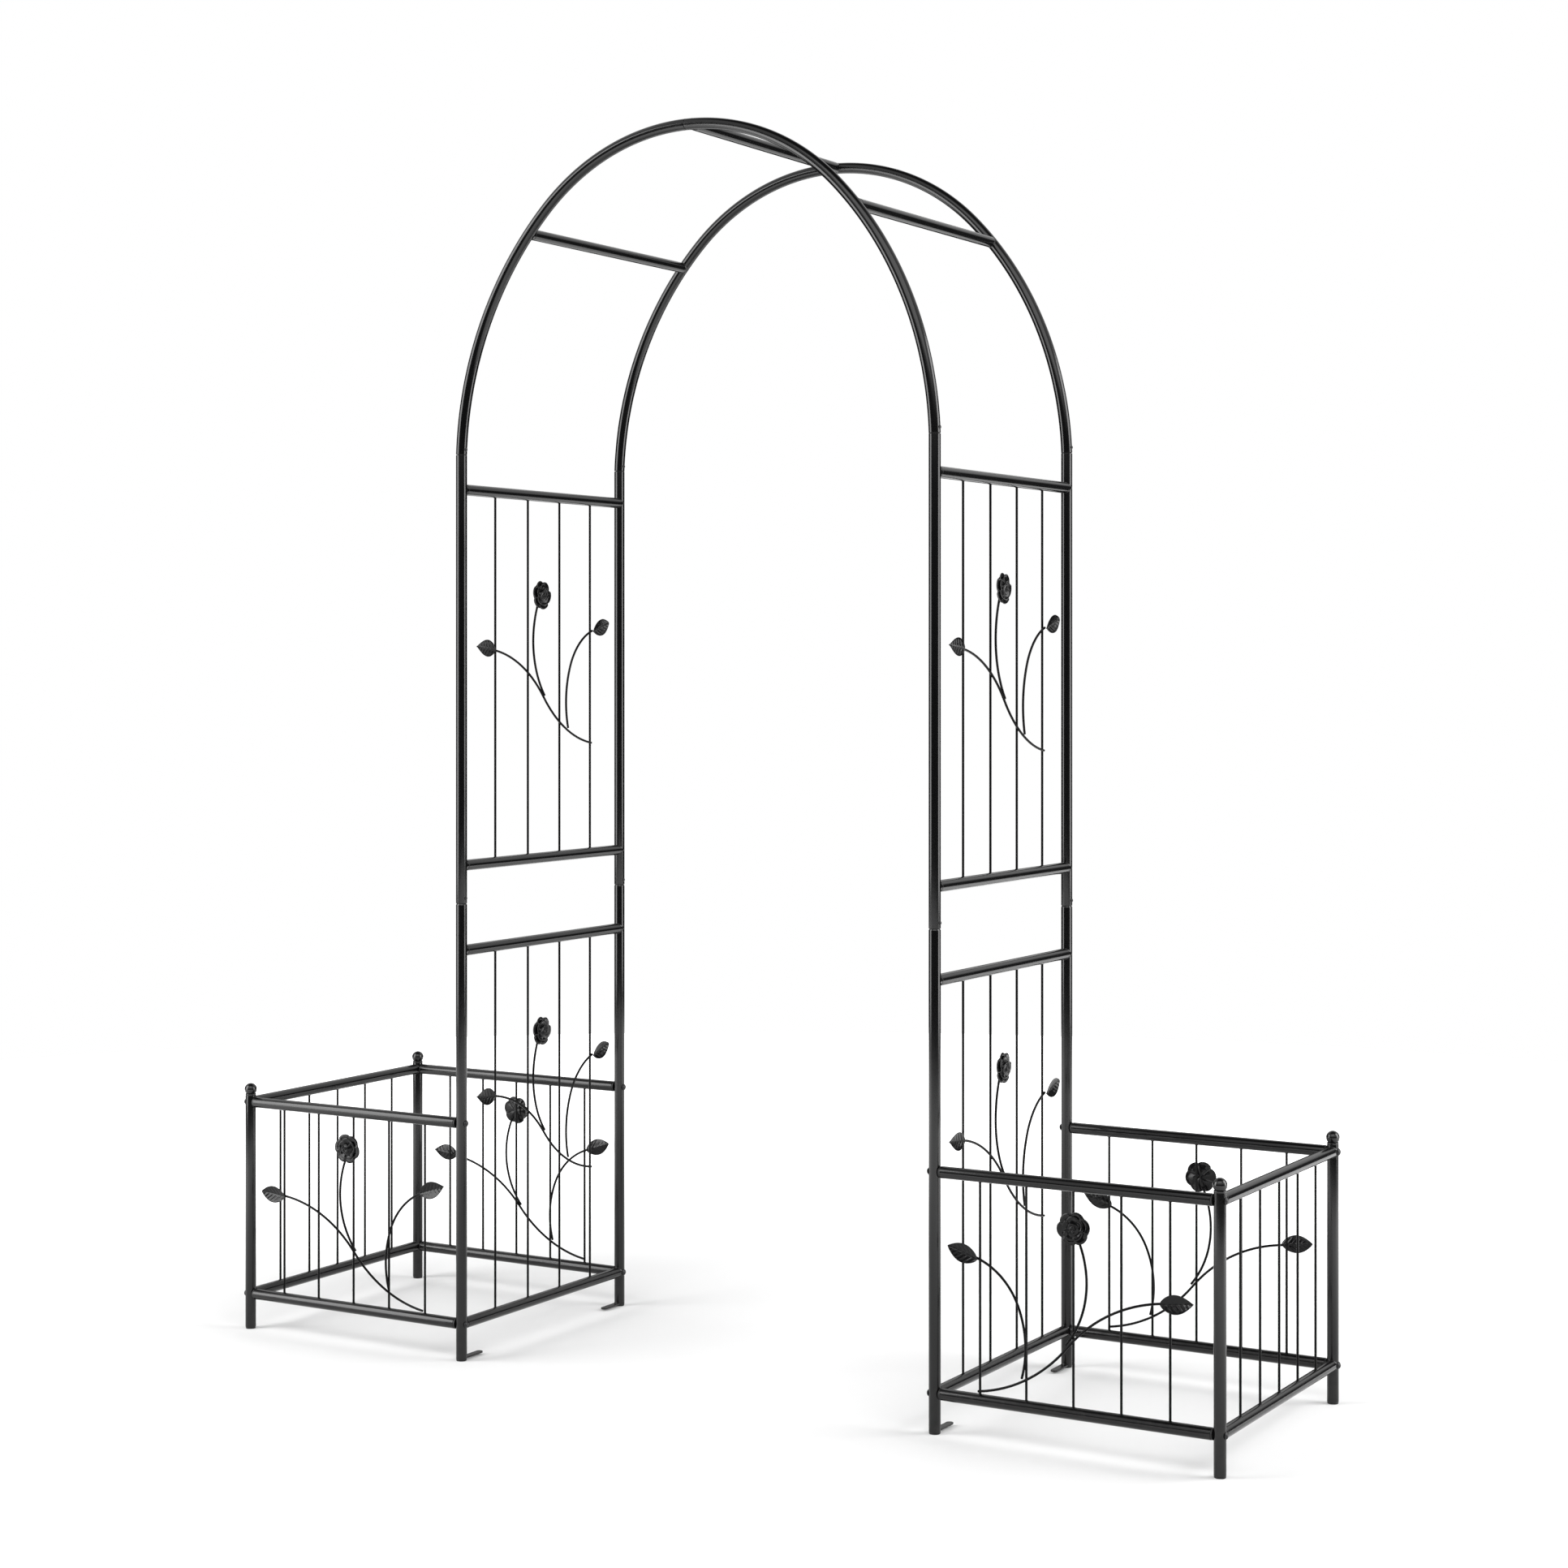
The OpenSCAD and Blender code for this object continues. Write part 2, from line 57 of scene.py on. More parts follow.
SIDES = (("left", -1), ("right", 1))
ROWS = (("front", -1), ("rear", 1))
CORNERS = [(side, s, row, r) for side, s in SIDES for row, r in ROWS]
LEVELS = ("upper", "lower")
TAU = 2 * math.pi
X, Y, Z = np.eye(3)

# Fits in metres
PLUG_FIT = 0.00015  # between a plug or spigot and its bore
COLLAR_SET = 0.0005  # a collar or flange stands this much inside its tube
HEAD_FIT = 0.00005  # under a bolt's head or a finial's collar
PLUG_DEPTH = 0.018
SCREW_REACH = 0.009  # from a joint to its screw
CROSS = 0.00045, 0.0018  # half width and half length of an arm of a screw's cross
SHIFT = 0.002  # a vine stands on its box's foot where that is this near to hanging from its top


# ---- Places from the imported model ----


def corners(node):
    """Lowest and highest corner of a CAD node, as arrays."""
    lo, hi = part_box(node)
    return np.array(lo), np.array(hi)


def middle(node):
    lo, hi = corners(node)
    return (lo + hi) / 2


def axis_point(node):
    """Where an upright tube's axis meets the ground."""
    return middle(node) * (1, 1, 0)


# ---- Curves ----


def unit(a):
    return np.array([math.cos(a), math.sin(a)])


def normalised(v):
    v = np.asarray(v, float)
    return v / np.linalg.norm(v, axis=-1, keepdims=True)


def tangents(path):
    return normalised(np.gradient(path, axis=0))


def around(n):
    """n angles round one turn, in equal steps."""
    return np.arange(n) * TAU / n


def circle(a, u, v):
    """Points of a unit circle on the directions u and v, at the angles a."""
    return np.cos(a)[:, None] * u + np.sin(a)[:, None] * v


def tangent_arcs(points, heading, step=math.radians(3)):
    """Path through 2D points as a chain of tangent arcs that leaves the first at heading.
    An arc that meets its chord at angle t/2 turns by t, so each swing is twice the angle from
    the heading to the chord, and its radius is half the chord over sin(t/2). Gives the path
    and the heading at each point."""
    points = np.asarray(points, float)
    path, headings = [points[:1]], [heading]
    for p, q in zip(points[:-1], points[1:]):
        chord = q - p
        swing = 2 * ((math.atan2(chord[1], chord[0]) - heading + math.pi) % TAU - math.pi)
        r = math.hypot(*chord) / 2 / math.sin(swing / 2)
        centre = p + r * unit(heading + math.pi / 2)
        h = heading + swing * np.linspace(0, 1, 1 + max(2, math.ceil(abs(swing) / step)))[1:]
        path.append(centre + r * np.stack([np.sin(h), -np.cos(h)], -1))
        heading += swing
        headings.append(heading)
    return np.concatenate(path), headings


def evenly(path, step):
    """The same path with points one step apart or less, by straight interpolation on its length."""
    s = np.concatenate([[0], np.cumsum(np.linalg.norm(np.diff(path, axis=0), axis=1))])
    t = np.linspace(0, s[-1], 1 + math.ceil(s[-1] / step))
    return np.stack([np.interp(t, s, path[:, k]) for k in range(path.shape[1])], -1)


def rounded(profile, radius, steps=4, closed=False):
    """Profile of (along, radius) points with each corner cut by an arc. The arc is a quadratic
    curve from a point before the corner to one as far after it, with the corner as its handle,
    and its reach is radius or a little under half of the shorter side."""
    p = np.asarray(profile, float)
    before, after = np.roll(p, 1, 0) - p, np.roll(p, -1, 0) - p
    shorter = np.minimum(np.linalg.norm(before, axis=1), np.linalg.norm(after, axis=1))
    reach = np.minimum(radius, 0.45 * shorter)[:, None]
    s, e = (p + reach * normalised(way) for way in (before, after))
    t = np.linspace(0, 1, steps + 1)[:, None]
    cuts = (1 - t) ** 2 * s[:, None] + 2 * t * (1 - t) * p[:, None] + t**2 * e[:, None]
    if closed:
        return cuts.reshape(-1, 2)
    return np.concatenate([p[:1], cuts[1:-1].reshape(-1, 2), p[-1:]])


# ---- Surfaces: arrays of rings, (stations, points round, 3) ----


def turned(profile, origin, axis, sides=48):
    """Surface of revolution: profile's (along, radius) points carried round axis from origin."""
    profile, axis = np.asarray(profile, float), normalised(axis)
    u = normalised(np.cross(axis, Y if abs(axis[1]) < 0.9 else X))
    ring = circle(around(sides), u, np.cross(axis, u))
    return np.asarray(origin) + profile[:, None, :1] * axis + profile[:, None, 1:] * ring


def swept(stations, radii, headings, flat, sides):
    """Round section carried along a path in the plane whose normal is flat: at each station, a
    ring of its radius that stands square to its heading."""
    side = np.cross(headings, flat)
    return stations[:, None] + radii[:, None, None] * circle(around(sides), side[:, None], flat)


def rounded_ends(path, radius, edge, steps=5):
    """Path and radii for a bar whose ends are square with a rounded edge: over the last edge
    of the length, the radius falls by edge along a quarter circle."""
    t = np.sin(np.linspace(0, math.pi / 2, steps + 1))[:-1]
    first, last = normalised(path[1] - path[0]), normalised(path[-1] - path[-2])
    a = np.sqrt(1 - (1 - t) ** 2)
    head = path[0] + (t * edge)[:, None] * first
    tail = path[-1] - (t * edge)[::-1, None] * last
    inner = path[1:-1] if len(path) > 2 else path[:0]
    body = np.concatenate([path[:1] + edge * first, inner, path[-1:] - edge * last])
    r_head = radius - edge + edge * a
    face = [radius - edge - 0.15 * edge]
    radii = np.concatenate([face, r_head, np.full(len(body), radius), r_head[::-1], face])
    return np.concatenate([head[:1], head, body, tail, tail[-1:]]), radii


def bar(start, end, radius, edge, flat, sides=40, parts=8):
    """Round bar from start to end with square, slightly rounded ends."""
    start, end = np.asarray(start, float), np.asarray(end, float)
    path = start + np.linspace(0, 1, parts + 1)[:, None] * (end - start)
    keep = np.linalg.norm(path - start, axis=1) > 1.5 * edge
    keep &= np.linalg.norm(path - end, axis=1) > 1.5 * edge
    keep[0] = keep[-1] = True
    path, radii = rounded_ends(path[keep], radius, edge)
    return swept(path, radii, normalised(end - start)[None], normalised(flat), sides)


def bead(centre, section=10, radius=0.001, lumps=0.0, count=0):
    """Closed weld bead: a small round section carried along a closed loop of points, its
    radius swelling by lumps times a sine that repeats count times round."""
    centre = np.asarray(centre, float)
    ahead, behind = np.roll(centre, -1, 0), np.roll(centre, 1, 0)
    tangent = normalised(ahead - behind)
    out = normalised(centre - centre.mean(0))
    out = normalised(out - (out * tangent).sum(1, keepdims=True) * tangent)
    up = np.cross(tangent, out)
    r = radius * (1 + lumps * np.sin(around(len(centre)) * count))
    return centre[:, None] + r[:, None, None] * circle(around(section), out[:, None], up[:, None])


def saddle(centre, along, across, round_r, tube_r, n=32):
    """Loop where a round bar of radius round_r, running in the direction along, meets the side
    of a tube of radius tube_r whose axis is square to both along and across, and passes
    through centre: at angle a the loop stands off by sqrt(tube_r^2 - (round_r cos a)^2)."""
    a = around(n)
    off = np.sqrt(np.maximum(tube_r**2 - (round_r * np.cos(a)) ** 2, 0))
    return centre + off[:, None] * along + round_r * circle(a, across, np.cross(along, across))


def weld_collar(centre, along, across, start, sizes):
    """Weld collar between a bar's end and the tube that it meets. Its section is a closed
    outline that runs out from the bar's end along the collar, flares where it meets the tube,
    and comes back inside; each point's place along the bar is a share between the bar's end
    and the saddle that the tube cuts."""
    tube_r = sizes.tube / 2
    collar, flare = tube_r - COLLAR_SET, 0.0012
    inside = collar - 0.0012
    outline = rounded([(1.02, inside), (1.02, collar), (0.75, collar), (0.3, collar + 0.0002),
                       (0.08, collar + flare * 0.5), (0.0, collar + flare * 0.8), (0.0, inside)],
                      0.0003, 3, True)
    a = around(48)
    ripple = 1 + 0.05 * np.sin(11 * a + 0.7)
    share, r = outline[:, :1], outline[:, 1:]
    r = np.where(r > collar, collar + (r - collar) * ripple, r)
    off = np.sqrt(np.maximum(tube_r**2 - (np.minimum(r, tube_r) * np.cos(a)) ** 2, 0))
    place = off + share * (start - off)
    return centre + place[..., None] * along + r[..., None] * circle(a, across, np.cross(along, across))


# ---- Meshes ----


def faces_of(rings, loop):
    """Triangles of a ring array: two for each cell of the grid, round the section, and, unless
    the stations form a loop, a fan that closes each end on its middle point."""
    m, n = rings.shape[:2]
    i, j = np.meshgrid(np.arange(m if loop else m - 1), np.arange(n), indexing="ij")
    k, l = (i + 1) % m, (j + 1) % n
    a, b, c, d = i * n + j, i * n + l, k * n + l, k * n + j
    tris = [np.stack([a, b, c], -1).reshape(-1, 3), np.stack([a, c, d], -1).reshape(-1, 3)]
    points = rings.reshape(-1, 3)
    if not loop:
        e = np.arange(n)
        f = (e + 1) % n
        points = np.concatenate([points, rings[0].mean(0)[None], rings[-1].mean(0)[None]])
        tris.append(np.stack([np.full(n, m * n), f, e], -1))
        last = (m - 1) * n
        tris.append(np.stack([np.full(n, m * n + 1), last + e, last + f], -1))
    return points, np.concatenate(tris)


def outward(points, tris):
    """The triangles turned to face outwards: the sum of a . (b x c) over them is six times the
    volume that they close, which is negative where they face in."""
    a, b, c = (points[tris[:, k]] for k in range(3))
    return tris if (a * np.cross(b, c)).sum() > 0 else tris[:, ::-1]


SUFFIX = {"pressed_sheet": "pressed", "finial_black": "moulded", "cap_plastic": "moulded",
          "fastener_black": "blackened"}


def piece(node, slot, parts, sharp=35.0):
    """Mesh object of closed ring arrays, (rings, loop), in the slot's finish. It rides on the
    frame and stands for its CAD node. Edges over sharp degrees stay crisp."""
    name = f"{node}_{SUFFIX.get(slot, 'coated')}"
    points, tris, base = [], [], 0
    for rings, loop in parts:
        p, t = faces_of(rings, loop)
        t = outward(p - p.mean(0), t)
        points.append(p)
        tris.append(t + base)
        base += len(p)
    points, tris = np.concatenate(points), np.concatenate(tris)
    if not np.isfinite(points).all():
        raise RuntimeError(f"{name} has a point that is not a number")
    mesh = bpy.data.meshes.new(name)
    mesh.vertices.add(len(points))
    mesh.vertices.foreach_set("co", points.astype(np.float32).ravel())
    mesh.loops.add(tris.size)
    mesh.loops.foreach_set("vertex_index", tris.astype(np.int32).ravel())
    mesh.polygons.add(len(tris))
    mesh.polygons.foreach_set("loop_start", np.arange(0, tris.size, 3, dtype=np.int32))
    mesh.update(calc_edges=True)
    mesh.validate()
    mesh.shade_smooth()
    mesh.set_sharp_from_angle(angle=math.radians(sharp))
    mesh.materials.append(finish_of(slot))
    obj = bpy.data.objects.new(name, mesh)
    bpy.context.scene.collection.objects.link(obj)
    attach(obj, "root")
    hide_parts(node)


# ---- Finishes ----


class Value:
    """A node's output that can stand in arithmetic: each operator adds one Math node."""

    def __init__(self, graph, socket):
        self.graph, self.socket = graph, socket

    def _sum(self, operation, a, b):
        return self.graph.add("ShaderNodeMath", {0: a, 1: b}, operation=operation)

    def __add__(self, other):
        return self._sum("ADD", self, other)

    def __sub__(self, other):
        return self._sum("SUBTRACT", self, other)

    def __mul__(self, other):
        return self._sum("MULTIPLY", self, other)

    def __rsub__(self, other):
        return self._sum("SUBTRACT", other, self)

    __radd__, __rmul__ = __add__, __mul__


class Graph:
    """Node tree of one finish, ending in a Principled shader whose constants are set at once."""

    def __init__(self, name, **constants):
        self.material = bpy.data.materials.new(name)
        self.material.use_nodes = True
        self.tree = self.material.node_tree
        self.shader = self.tree.nodes["Principled BSDF"]
        for key, value in constants.items():
            self.shader.inputs[key.replace("_", " ")].default_value = value
        self.place = self.add("ShaderNodeTexCoord", {}, out="Object")

    @classmethod
    def of_world(cls, world):
        """The same for a world, whose place is a direction."""
        graph = cls.__new__(cls)
        graph.tree = world.node_tree
        graph.place = graph.add("ShaderNodeTexCoord", {}, out="Generated")
        return graph

    def add(self, kind, sockets, out=0, **settings):
        """Any node: its settings first, then its sockets' values or links."""
        node = self.tree.nodes.new(kind)
        for key, value in settings.items():
            setattr(node, key, value)
        for key, value in sockets.items():
            if isinstance(value, Value):
                self.tree.links.new(value.socket, node.inputs[key])
            else:
                node.inputs[key].default_value = value
        return Value(self, node.outputs[out])

    def noise(self, scale, detail=2.0, roughness=0.5, stretch=(1, 1, 1)):
        """Noise from 0 to 1, scale cells a metre, squeezed by stretch."""
        at = self.add("ShaderNodeMapping", {"Vector": self.place, "Scale": stretch})
        return self.add("ShaderNodeTexNoise",
                        {"Vector": at, "Scale": scale, "Detail": detail, "Roughness": roughness})

    def between(self, value, low, high):
        """0 under low and 1 over high, smooth in between."""
        return self.add("ShaderNodeMapRange", {"Value": value, "From Min": low, "From Max": high},
                        interpolation_type="SMOOTHSTEP")

    def height(self):
        """Height above the ground in metres."""
        return self.add("ShaderNodeSeparateXYZ", {"Vector": self.place}, out="Z")

    def mixed(self, share, a, b):
        """Colour from a to b as share goes from 0 to 1."""
        return self.add("ShaderNodeMix", {0: share, 6: a, 7: b}, out=2, data_type="RGBA")

    def finish(self, colour, roughness, relief=None, depth=0.0001, metallic=None):
        for key, value in (("Base Color", colour), ("Roughness", roughness), ("Metallic", metallic)):
            if value is not None:
                self.tree.links.new(value.socket, self.shader.inputs[key])
        if relief is not None:
            bump = self.add("ShaderNodeBump", {"Height": relief, "Strength": 1.0, "Distance": depth},
                            out="Normal")
            self.tree.links.new(bump.socket, self.shader.inputs["Normal"])
        return self.material


def shade(colour, factor):
    return (*[c * factor for c in colour[:3]], 1.0)


def powder_coat(name, colour, roughness, peel, depth, index=1.44):
    """Baked powder: cells of orange peel with a finer grain on them, slow drifts of tone and
    gloss, a few rubbed patches, and a film of dust that thickens towards the ground."""
    g = Graph(name, IOR=index)
    peeled, grain = g.noise(peel, 2.0), g.noise(peel * 4, 1.0)
    drift, rub = g.noise(7.0, 3.0), g.noise(38.0, 4.0, 0.62, (1.0, 1.0, 0.35))
    rubbed = g.between(rub, 0.6, 0.74)
    low = 1 - g.between(g.height(), 0.0, 0.16)
    dust = low * g.between(g.noise(90.0, 5.0, 0.65), 0.38, 0.8)
    tone = g.mixed(drift, shade(colour, 0.75), shade(colour, 1.3))
    tone = g.mixed(rubbed * 0.4, tone, shade(colour, 1.9))
    tone = g.mixed(dust * 0.08, tone, (0.15, 0.14, 0.13, 1))
    gloss = roughness - 0.05 + 0.1 * drift + 0.05 * peeled - 0.05 * rubbed + 0.12 * dust
    return g.finish(tone, gloss, peeled * 0.8 + grain * 0.2, depth)


def hammered_sheet(name, colour, roughness):
    """Pressed sheet under its coat: shallow hammer dents between grain that runs with the press."""
    g = Graph(name, IOR=1.33)
    dents = g.add("ShaderNodeTexVoronoi", {"Vector": g.place, "Scale": 240.0, "Smoothness": 1.0},
                  feature="SMOOTH_F1")
    grain, drift = g.noise(1500.0, 2.0), g.noise(30.0, 3.0)
    tone = g.mixed(drift, shade(colour, 0.7), shade(colour, 1.4))
    gloss = roughness - 0.05 + 0.1 * drift + 0.04 * grain
    return g.finish(tone, gloss, dents * 0.8 + grain * 0.05, 0.00035)


def moulded_plastic(name, colour, roughness, grain_scale, depth):
    """Moulded plastic: fine spark-eroded grain, faint flow marks round the part, and handling
    scuffs that dull the gloss."""
    g = Graph(name, IOR=1.46)
    grain, flow = g.noise(grain_scale, 2.0), g.noise(120.0, 2.0, 0.5, (1.0, 1.0, 4.0))
    scuff = g.between(g.noise(260.0, 6.0, 0.7), 0.56, 0.72)
    tone = g.mixed(flow, shade(colour, 0.8), shade(colour, 1.25))
    tone = g.mixed(scuff * 0.3, tone, shade(colour, 2.2))
    return g.finish(tone, roughness + 0.05 * flow + 0.14 * scuff, grain, depth)


def blackened_steel(name, colour, roughness):
    """Blackened steel fastener: fine turning marks, tool rubs where the bright metal shows, and
    an oily drift in gloss."""
    g = Graph(name, IOR=1.5)
    turning, drift = g.noise(2600.0, 2.0, 0.5, (1.0, 1.0, 0.2)), g.noise(350.0, 4.0)
    rubbed = g.between(drift, 0.6, 0.7)
    tone = g.mixed(rubbed * 0.5, shade(colour, 1.0), (0.12, 0.12, 0.125, 1))
    metal = 0.55 + 0.4 * rubbed
    return g.finish(tone, roughness + 0.15 * drift - 0.06 * rubbed, turning, 0.00003, metal)


def galvanised_steel(name):
    """Zinc-coated sleeve: spangle cells that differ in tone and gloss, drawn along the tube."""
    g = Graph(name, Metallic=1.0)
    cells = g.add("ShaderNodeTexVoronoi", {"Vector": g.place, "Scale": 320.0}, out="Color")
    tone_of = g.add("ShaderNodeSeparateColor", {"Color": cells})
    tone = g.mixed(tone_of, (0.36, 0.37, 0.39, 1), (0.56, 0.57, 0.6, 1))
    return g.finish(tone, 0.34 + 0.16 * tone_of, g.noise(1800.0, 3.0), 0.00003)


def studio_floor(name, colour):
    """Pale seamless floor: a matt sheet lit through from below, more so towards its edge, with a painted
    shadow where that glow is dimmed under the baskets, at 0.7 m to each side, and a trace of paper grain and
    slow unevenness."""
    g = Graph(name, Roughness=0.9, Emission_Strength=1.0)
    far = g.between(g.add("ShaderNodeVectorMath", {0: g.place}, out="Value", operation="LENGTH"), 0.8, 2.6)
    x, y = (g.add("ShaderNodeSeparateXYZ", {"Vector": g.place}, out=k) for k in ("X", "Y"))
    beside = g.add("ShaderNodeMath", {0: x}, operation="ABSOLUTE") - 0.7
    # Painted shadow: the floor's glow falls to nothing in a pool round each basket, at 0.7 m to each side
    painted_shadow = 1 - g.between(beside * beside * 0.8 + y * y, 0.04, 0.5)
    lit = g.mixed(far, (0.12, 0.12, 0.12, 1), (1, 1, 1, 1))
    # The painted shadow pool dims the glow round the baskets
    lit = g.mixed(painted_shadow, lit, (0.0, 0.0, 0.0, 1))
    g.tree.links.new(lit.socket, g.shader.inputs["Emission Color"])
    tone = g.mixed(g.noise(1.7, 3.0), shade(colour, 0.985), shade(colour, 1.0))
    return g.finish(tone, None, g.noise(700.0, 3.0), 0.00005)


MAKERS = {
    "coated_tube": lambda name, f: powder_coat(name, f.coat, f.gloss, 620.0, 0.000022),
    "coated_wire": lambda name, f: powder_coat(name, shade(f.coat, 0.5), f.gloss + 0.03, 1100.0, 0.000015,
                                               1.2),
    "pressed_sheet": lambda name, f: hammered_sheet(name, f.coat, f.gloss + 0.04),
    "finial_black": lambda name, f: moulded_plastic(name, f.plastic, 0.14, 900.0, 0.00001),
    "cap_plastic": lambda name, f: moulded_plastic(name, f.plastic, 0.46, 2600.0, 0.00004),
    "fastener_black": lambda name, f: blackened_steel(name, f.steel, 0.3),
    "sleeve_steel": lambda name, f: galvanised_steel(name),
}


def finish_of(slot):
    """The slot's finish, made once. The model's own plain material has the slot's bare name."""
    name = f"{slot}_finish"
    if name not in bpy.data.materials:
        MAKERS[slot](name, bpy.context.scene.trellis_finish)
    return bpy.data.materials[name]


# ---- Settings ----


def length(name, default, description):
    return FloatProperty(name=name, description=description, default=default, min=0, unit="LENGTH",
                         precision=5)


def angle(name, degrees, description):
    return FloatProperty(name=name, description=description, default=math.radians(degrees), subtype="ANGLE")


def tint(name, default, description):
    return FloatVectorProperty(name=name, description=description, default=default, subtype="COLOR")


def amount(name, default, description, **more):
    return FloatProperty(name=name, description=description, default=default, min=0, **more)


def number(name, default, description):
    return IntProperty(name=name, description=description, default=default, min=1)


class TrellisSizes(bpy.types.PropertyGroup):
    """Sizes of the finished pieces."""

    tube: length("Tube", 0.019, "Outside diameter of posts, rails and arch tubes")
    tube_wall: length("Tube wall", 0.0012, "Wall of the tubes")
    rod: length("Rod", 0.004, "Diameter of the straight rods")
    wire: length("Wire", 0.004, "Diameter of the bent vine wires")
    edge: length("Edge", 0.0007, "Rounding of a cut tube's edge under its coat")
    neck: length("Neck", 0.0025, "Height of the groove at a post's joint")
    weld: length("Weld", 0.0009, "Radius of a small weld bead")
    seam: length("Seam", 0.00025, "Gap at a welded seam")
    flower: length("Flower", 0.054, "Diameter of a flower")
    leaf: length("Leaf", 0.054, "Length of a leaf")
    leaf_width: length("Leaf width", 0.029, "Width of a leaf")
    sheet: length("Sheet", 0.0012, "Thickness of the pressed sheet")
    tab: length("Tab", 0.057, "Length of a foot tab from its post's axis")
    tab_width: length("Tab width", 0.012, "Width of a foot tab")
    lean: angle("Lean", 2, "Lean of the arch where it leaves its post")
    blend: angle("Blend", 45, "Angle at which the arch's two curves meet")
    panel_rods: number("Panel rods", 4, "Rods in a ladder panel")
    basket_rods: number("Basket rods", 5, "Rods in a basket face")


class TrellisFinish(bpy.types.PropertyGroup):
    """Colours and gloss of the finishes."""

    coat: tint("Coat", (0.0026, 0.0026, 0.0028), "Powder coat")
    plastic: tint("Plastic", (0.004, 0.004, 0.0043), "Caps and finials")
    steel: tint("Steel", (0.02, 0.02, 0.021), "Blackened bolts and screws")
    floor: tint("Floor", (0.8, 0.8, 0.8), "Studio floor")
    gloss: amount("Roughness", 0.11, "Roughness of the powder coat", max=1, subtype="FACTOR")


class TrellisStudio(bpy.types.PropertyGroup):
    """Camera and lights."""

    eye: FloatVectorProperty(name="Eye", description="Camera position", default=(2.5144, -4.20235, 1.20566),
                             subtype="TRANSLATION", unit="LENGTH")
    turn: angle("Turn", 30.466, "Camera's turn to the left of straight on")
    lens: amount("Lens", 65.353, "Focal length in millimetres")
    rise: FloatProperty(name="Rise", description="Vertical shift of the picture", default=-0.0773)
    ambient: amount("Ambient", 0.05, "Light of the room")
    band: amount("Band", 0.9, "Light of the bright band round the ceiling")
    side: amount("Side light", 110.0, "Power of each side softbox", subtype="POWER")
    top: amount("Top light", 60.0, "Power of the top softbox", subtype="POWER")


# ---- Operators ----


class TRELLIS_OT_studio(bpy.types.Operator):
    """Pale floor, soft boxes and the camera."""

    bl_idname = "trellis.studio"
    bl_label = "Studio"

    def execute(self, context):
        scene = context.scene
        studio = scene.trellis_studio
        scene.view_settings.view_transform = "Standard"
        self.camera(studio, scene)
        self.floor(scene)
        self.lights(studio, scene)
        self.room(studio, scene)
        return {"FINISHED"}

    def camera(self, studio, scene):
        data = bpy.data.cameras.new("camera")
        data.lens, data.sensor_width = studio.lens, 36.0
        data.shift_y = studio.rise
        data.clip_end = 200.0
        camera = bpy.data.objects.new("camera", data)
        camera.location = studio.eye
        camera.rotation_euler = (math.pi / 2, 0, studio.turn)
        scene.collection.objects.link(camera)
        scene.camera = camera

    def floor(self, scene):
        """Flat round floor: rings of a disc of radius R, at R times a square-law share."""
        r = 4.4 * np.linspace(0.02, 1, 12) ** 2
        rings = r[:, None, None] * circle(around(64), X, Y)
        points, tris = faces_of(rings, False)
        tris = tris[:-64]
        mesh = bpy.data.meshes.new("floor")
        mesh.from_pydata(points.tolist(), [], tris.tolist())
        mesh.materials.append(studio_floor("floor", scene.trellis_finish.floor))
        floor = bpy.data.objects.new("floor", mesh)
        scene.collection.objects.link(floor)

    def lights(self, studio, scene):
        """Softboxes: one low and tall at each side of the view, one overhead towards the camera."""
        look = np.array([-math.sin(studio.turn), math.cos(studio.turn), 0])
        right = np.array([look[1], -look[0], 0])
        for name, at, size, power in (
            ("softbox_left", -3.3 * right - 0.6 * look + 1.7 * Z, (1.9, 3.0), studio.side),
            ("softbox_right", 3.3 * right - 0.6 * look + 1.7 * Z, (1.9, 3.0), studio.side),
            ("softbox_top", -3.2 * look + 3.9 * Z, (4.4, 2.4), studio.top),
        ):
            data = bpy.data.lights.new(name, "AREA")
            data.shape, data.size, data.size_y, data.energy = "RECTANGLE", *size, power
            light = bpy.data.objects.new(name, data)
            light.location = at
            light.visible_camera = False
            light.rotation_euler = Vector(1.1 * Z - at).to_track_quat("-Z", "Y").to_euler()
            scene.collection.objects.link(light)

    def room(self, studio, scene):
        """Dim room with a bright band of ceiling all round, which shows as a white backdrop. The
        band fades in from 9 to 21 degrees above the horizon and out again from 48 to 66."""
        world = bpy.data.worlds.new("studio")
        world.use_nodes = True
        scene.world = world
        g = Graph.of_world(world)
        up = g.height()
        band = g.between(up, 0.16, 0.36) * (1 - g.between(up, 0.75, 0.92))
        nodes, links = g.tree.nodes, g.tree.links
        room, white = nodes["Background"], nodes.new("ShaderNodeBackground")
        links.new((studio.ambient + studio.band * band).socket, room.inputs["Strength"])
        for background in (room, white):
            background.inputs["Color"].default_value = (1, 1, 1, 1)
        seen, mix = nodes.new("ShaderNodeLightPath"), nodes.new("ShaderNodeMixShader")
        links.new(seen.outputs["Is Camera Ray"], mix.inputs[0])
        links.new(room.outputs[0], mix.inputs[1])
        links.new(white.outputs[0], mix.inputs[2])
        links.new(mix.outputs[0], nodes["World Output"].inputs["Surface"])


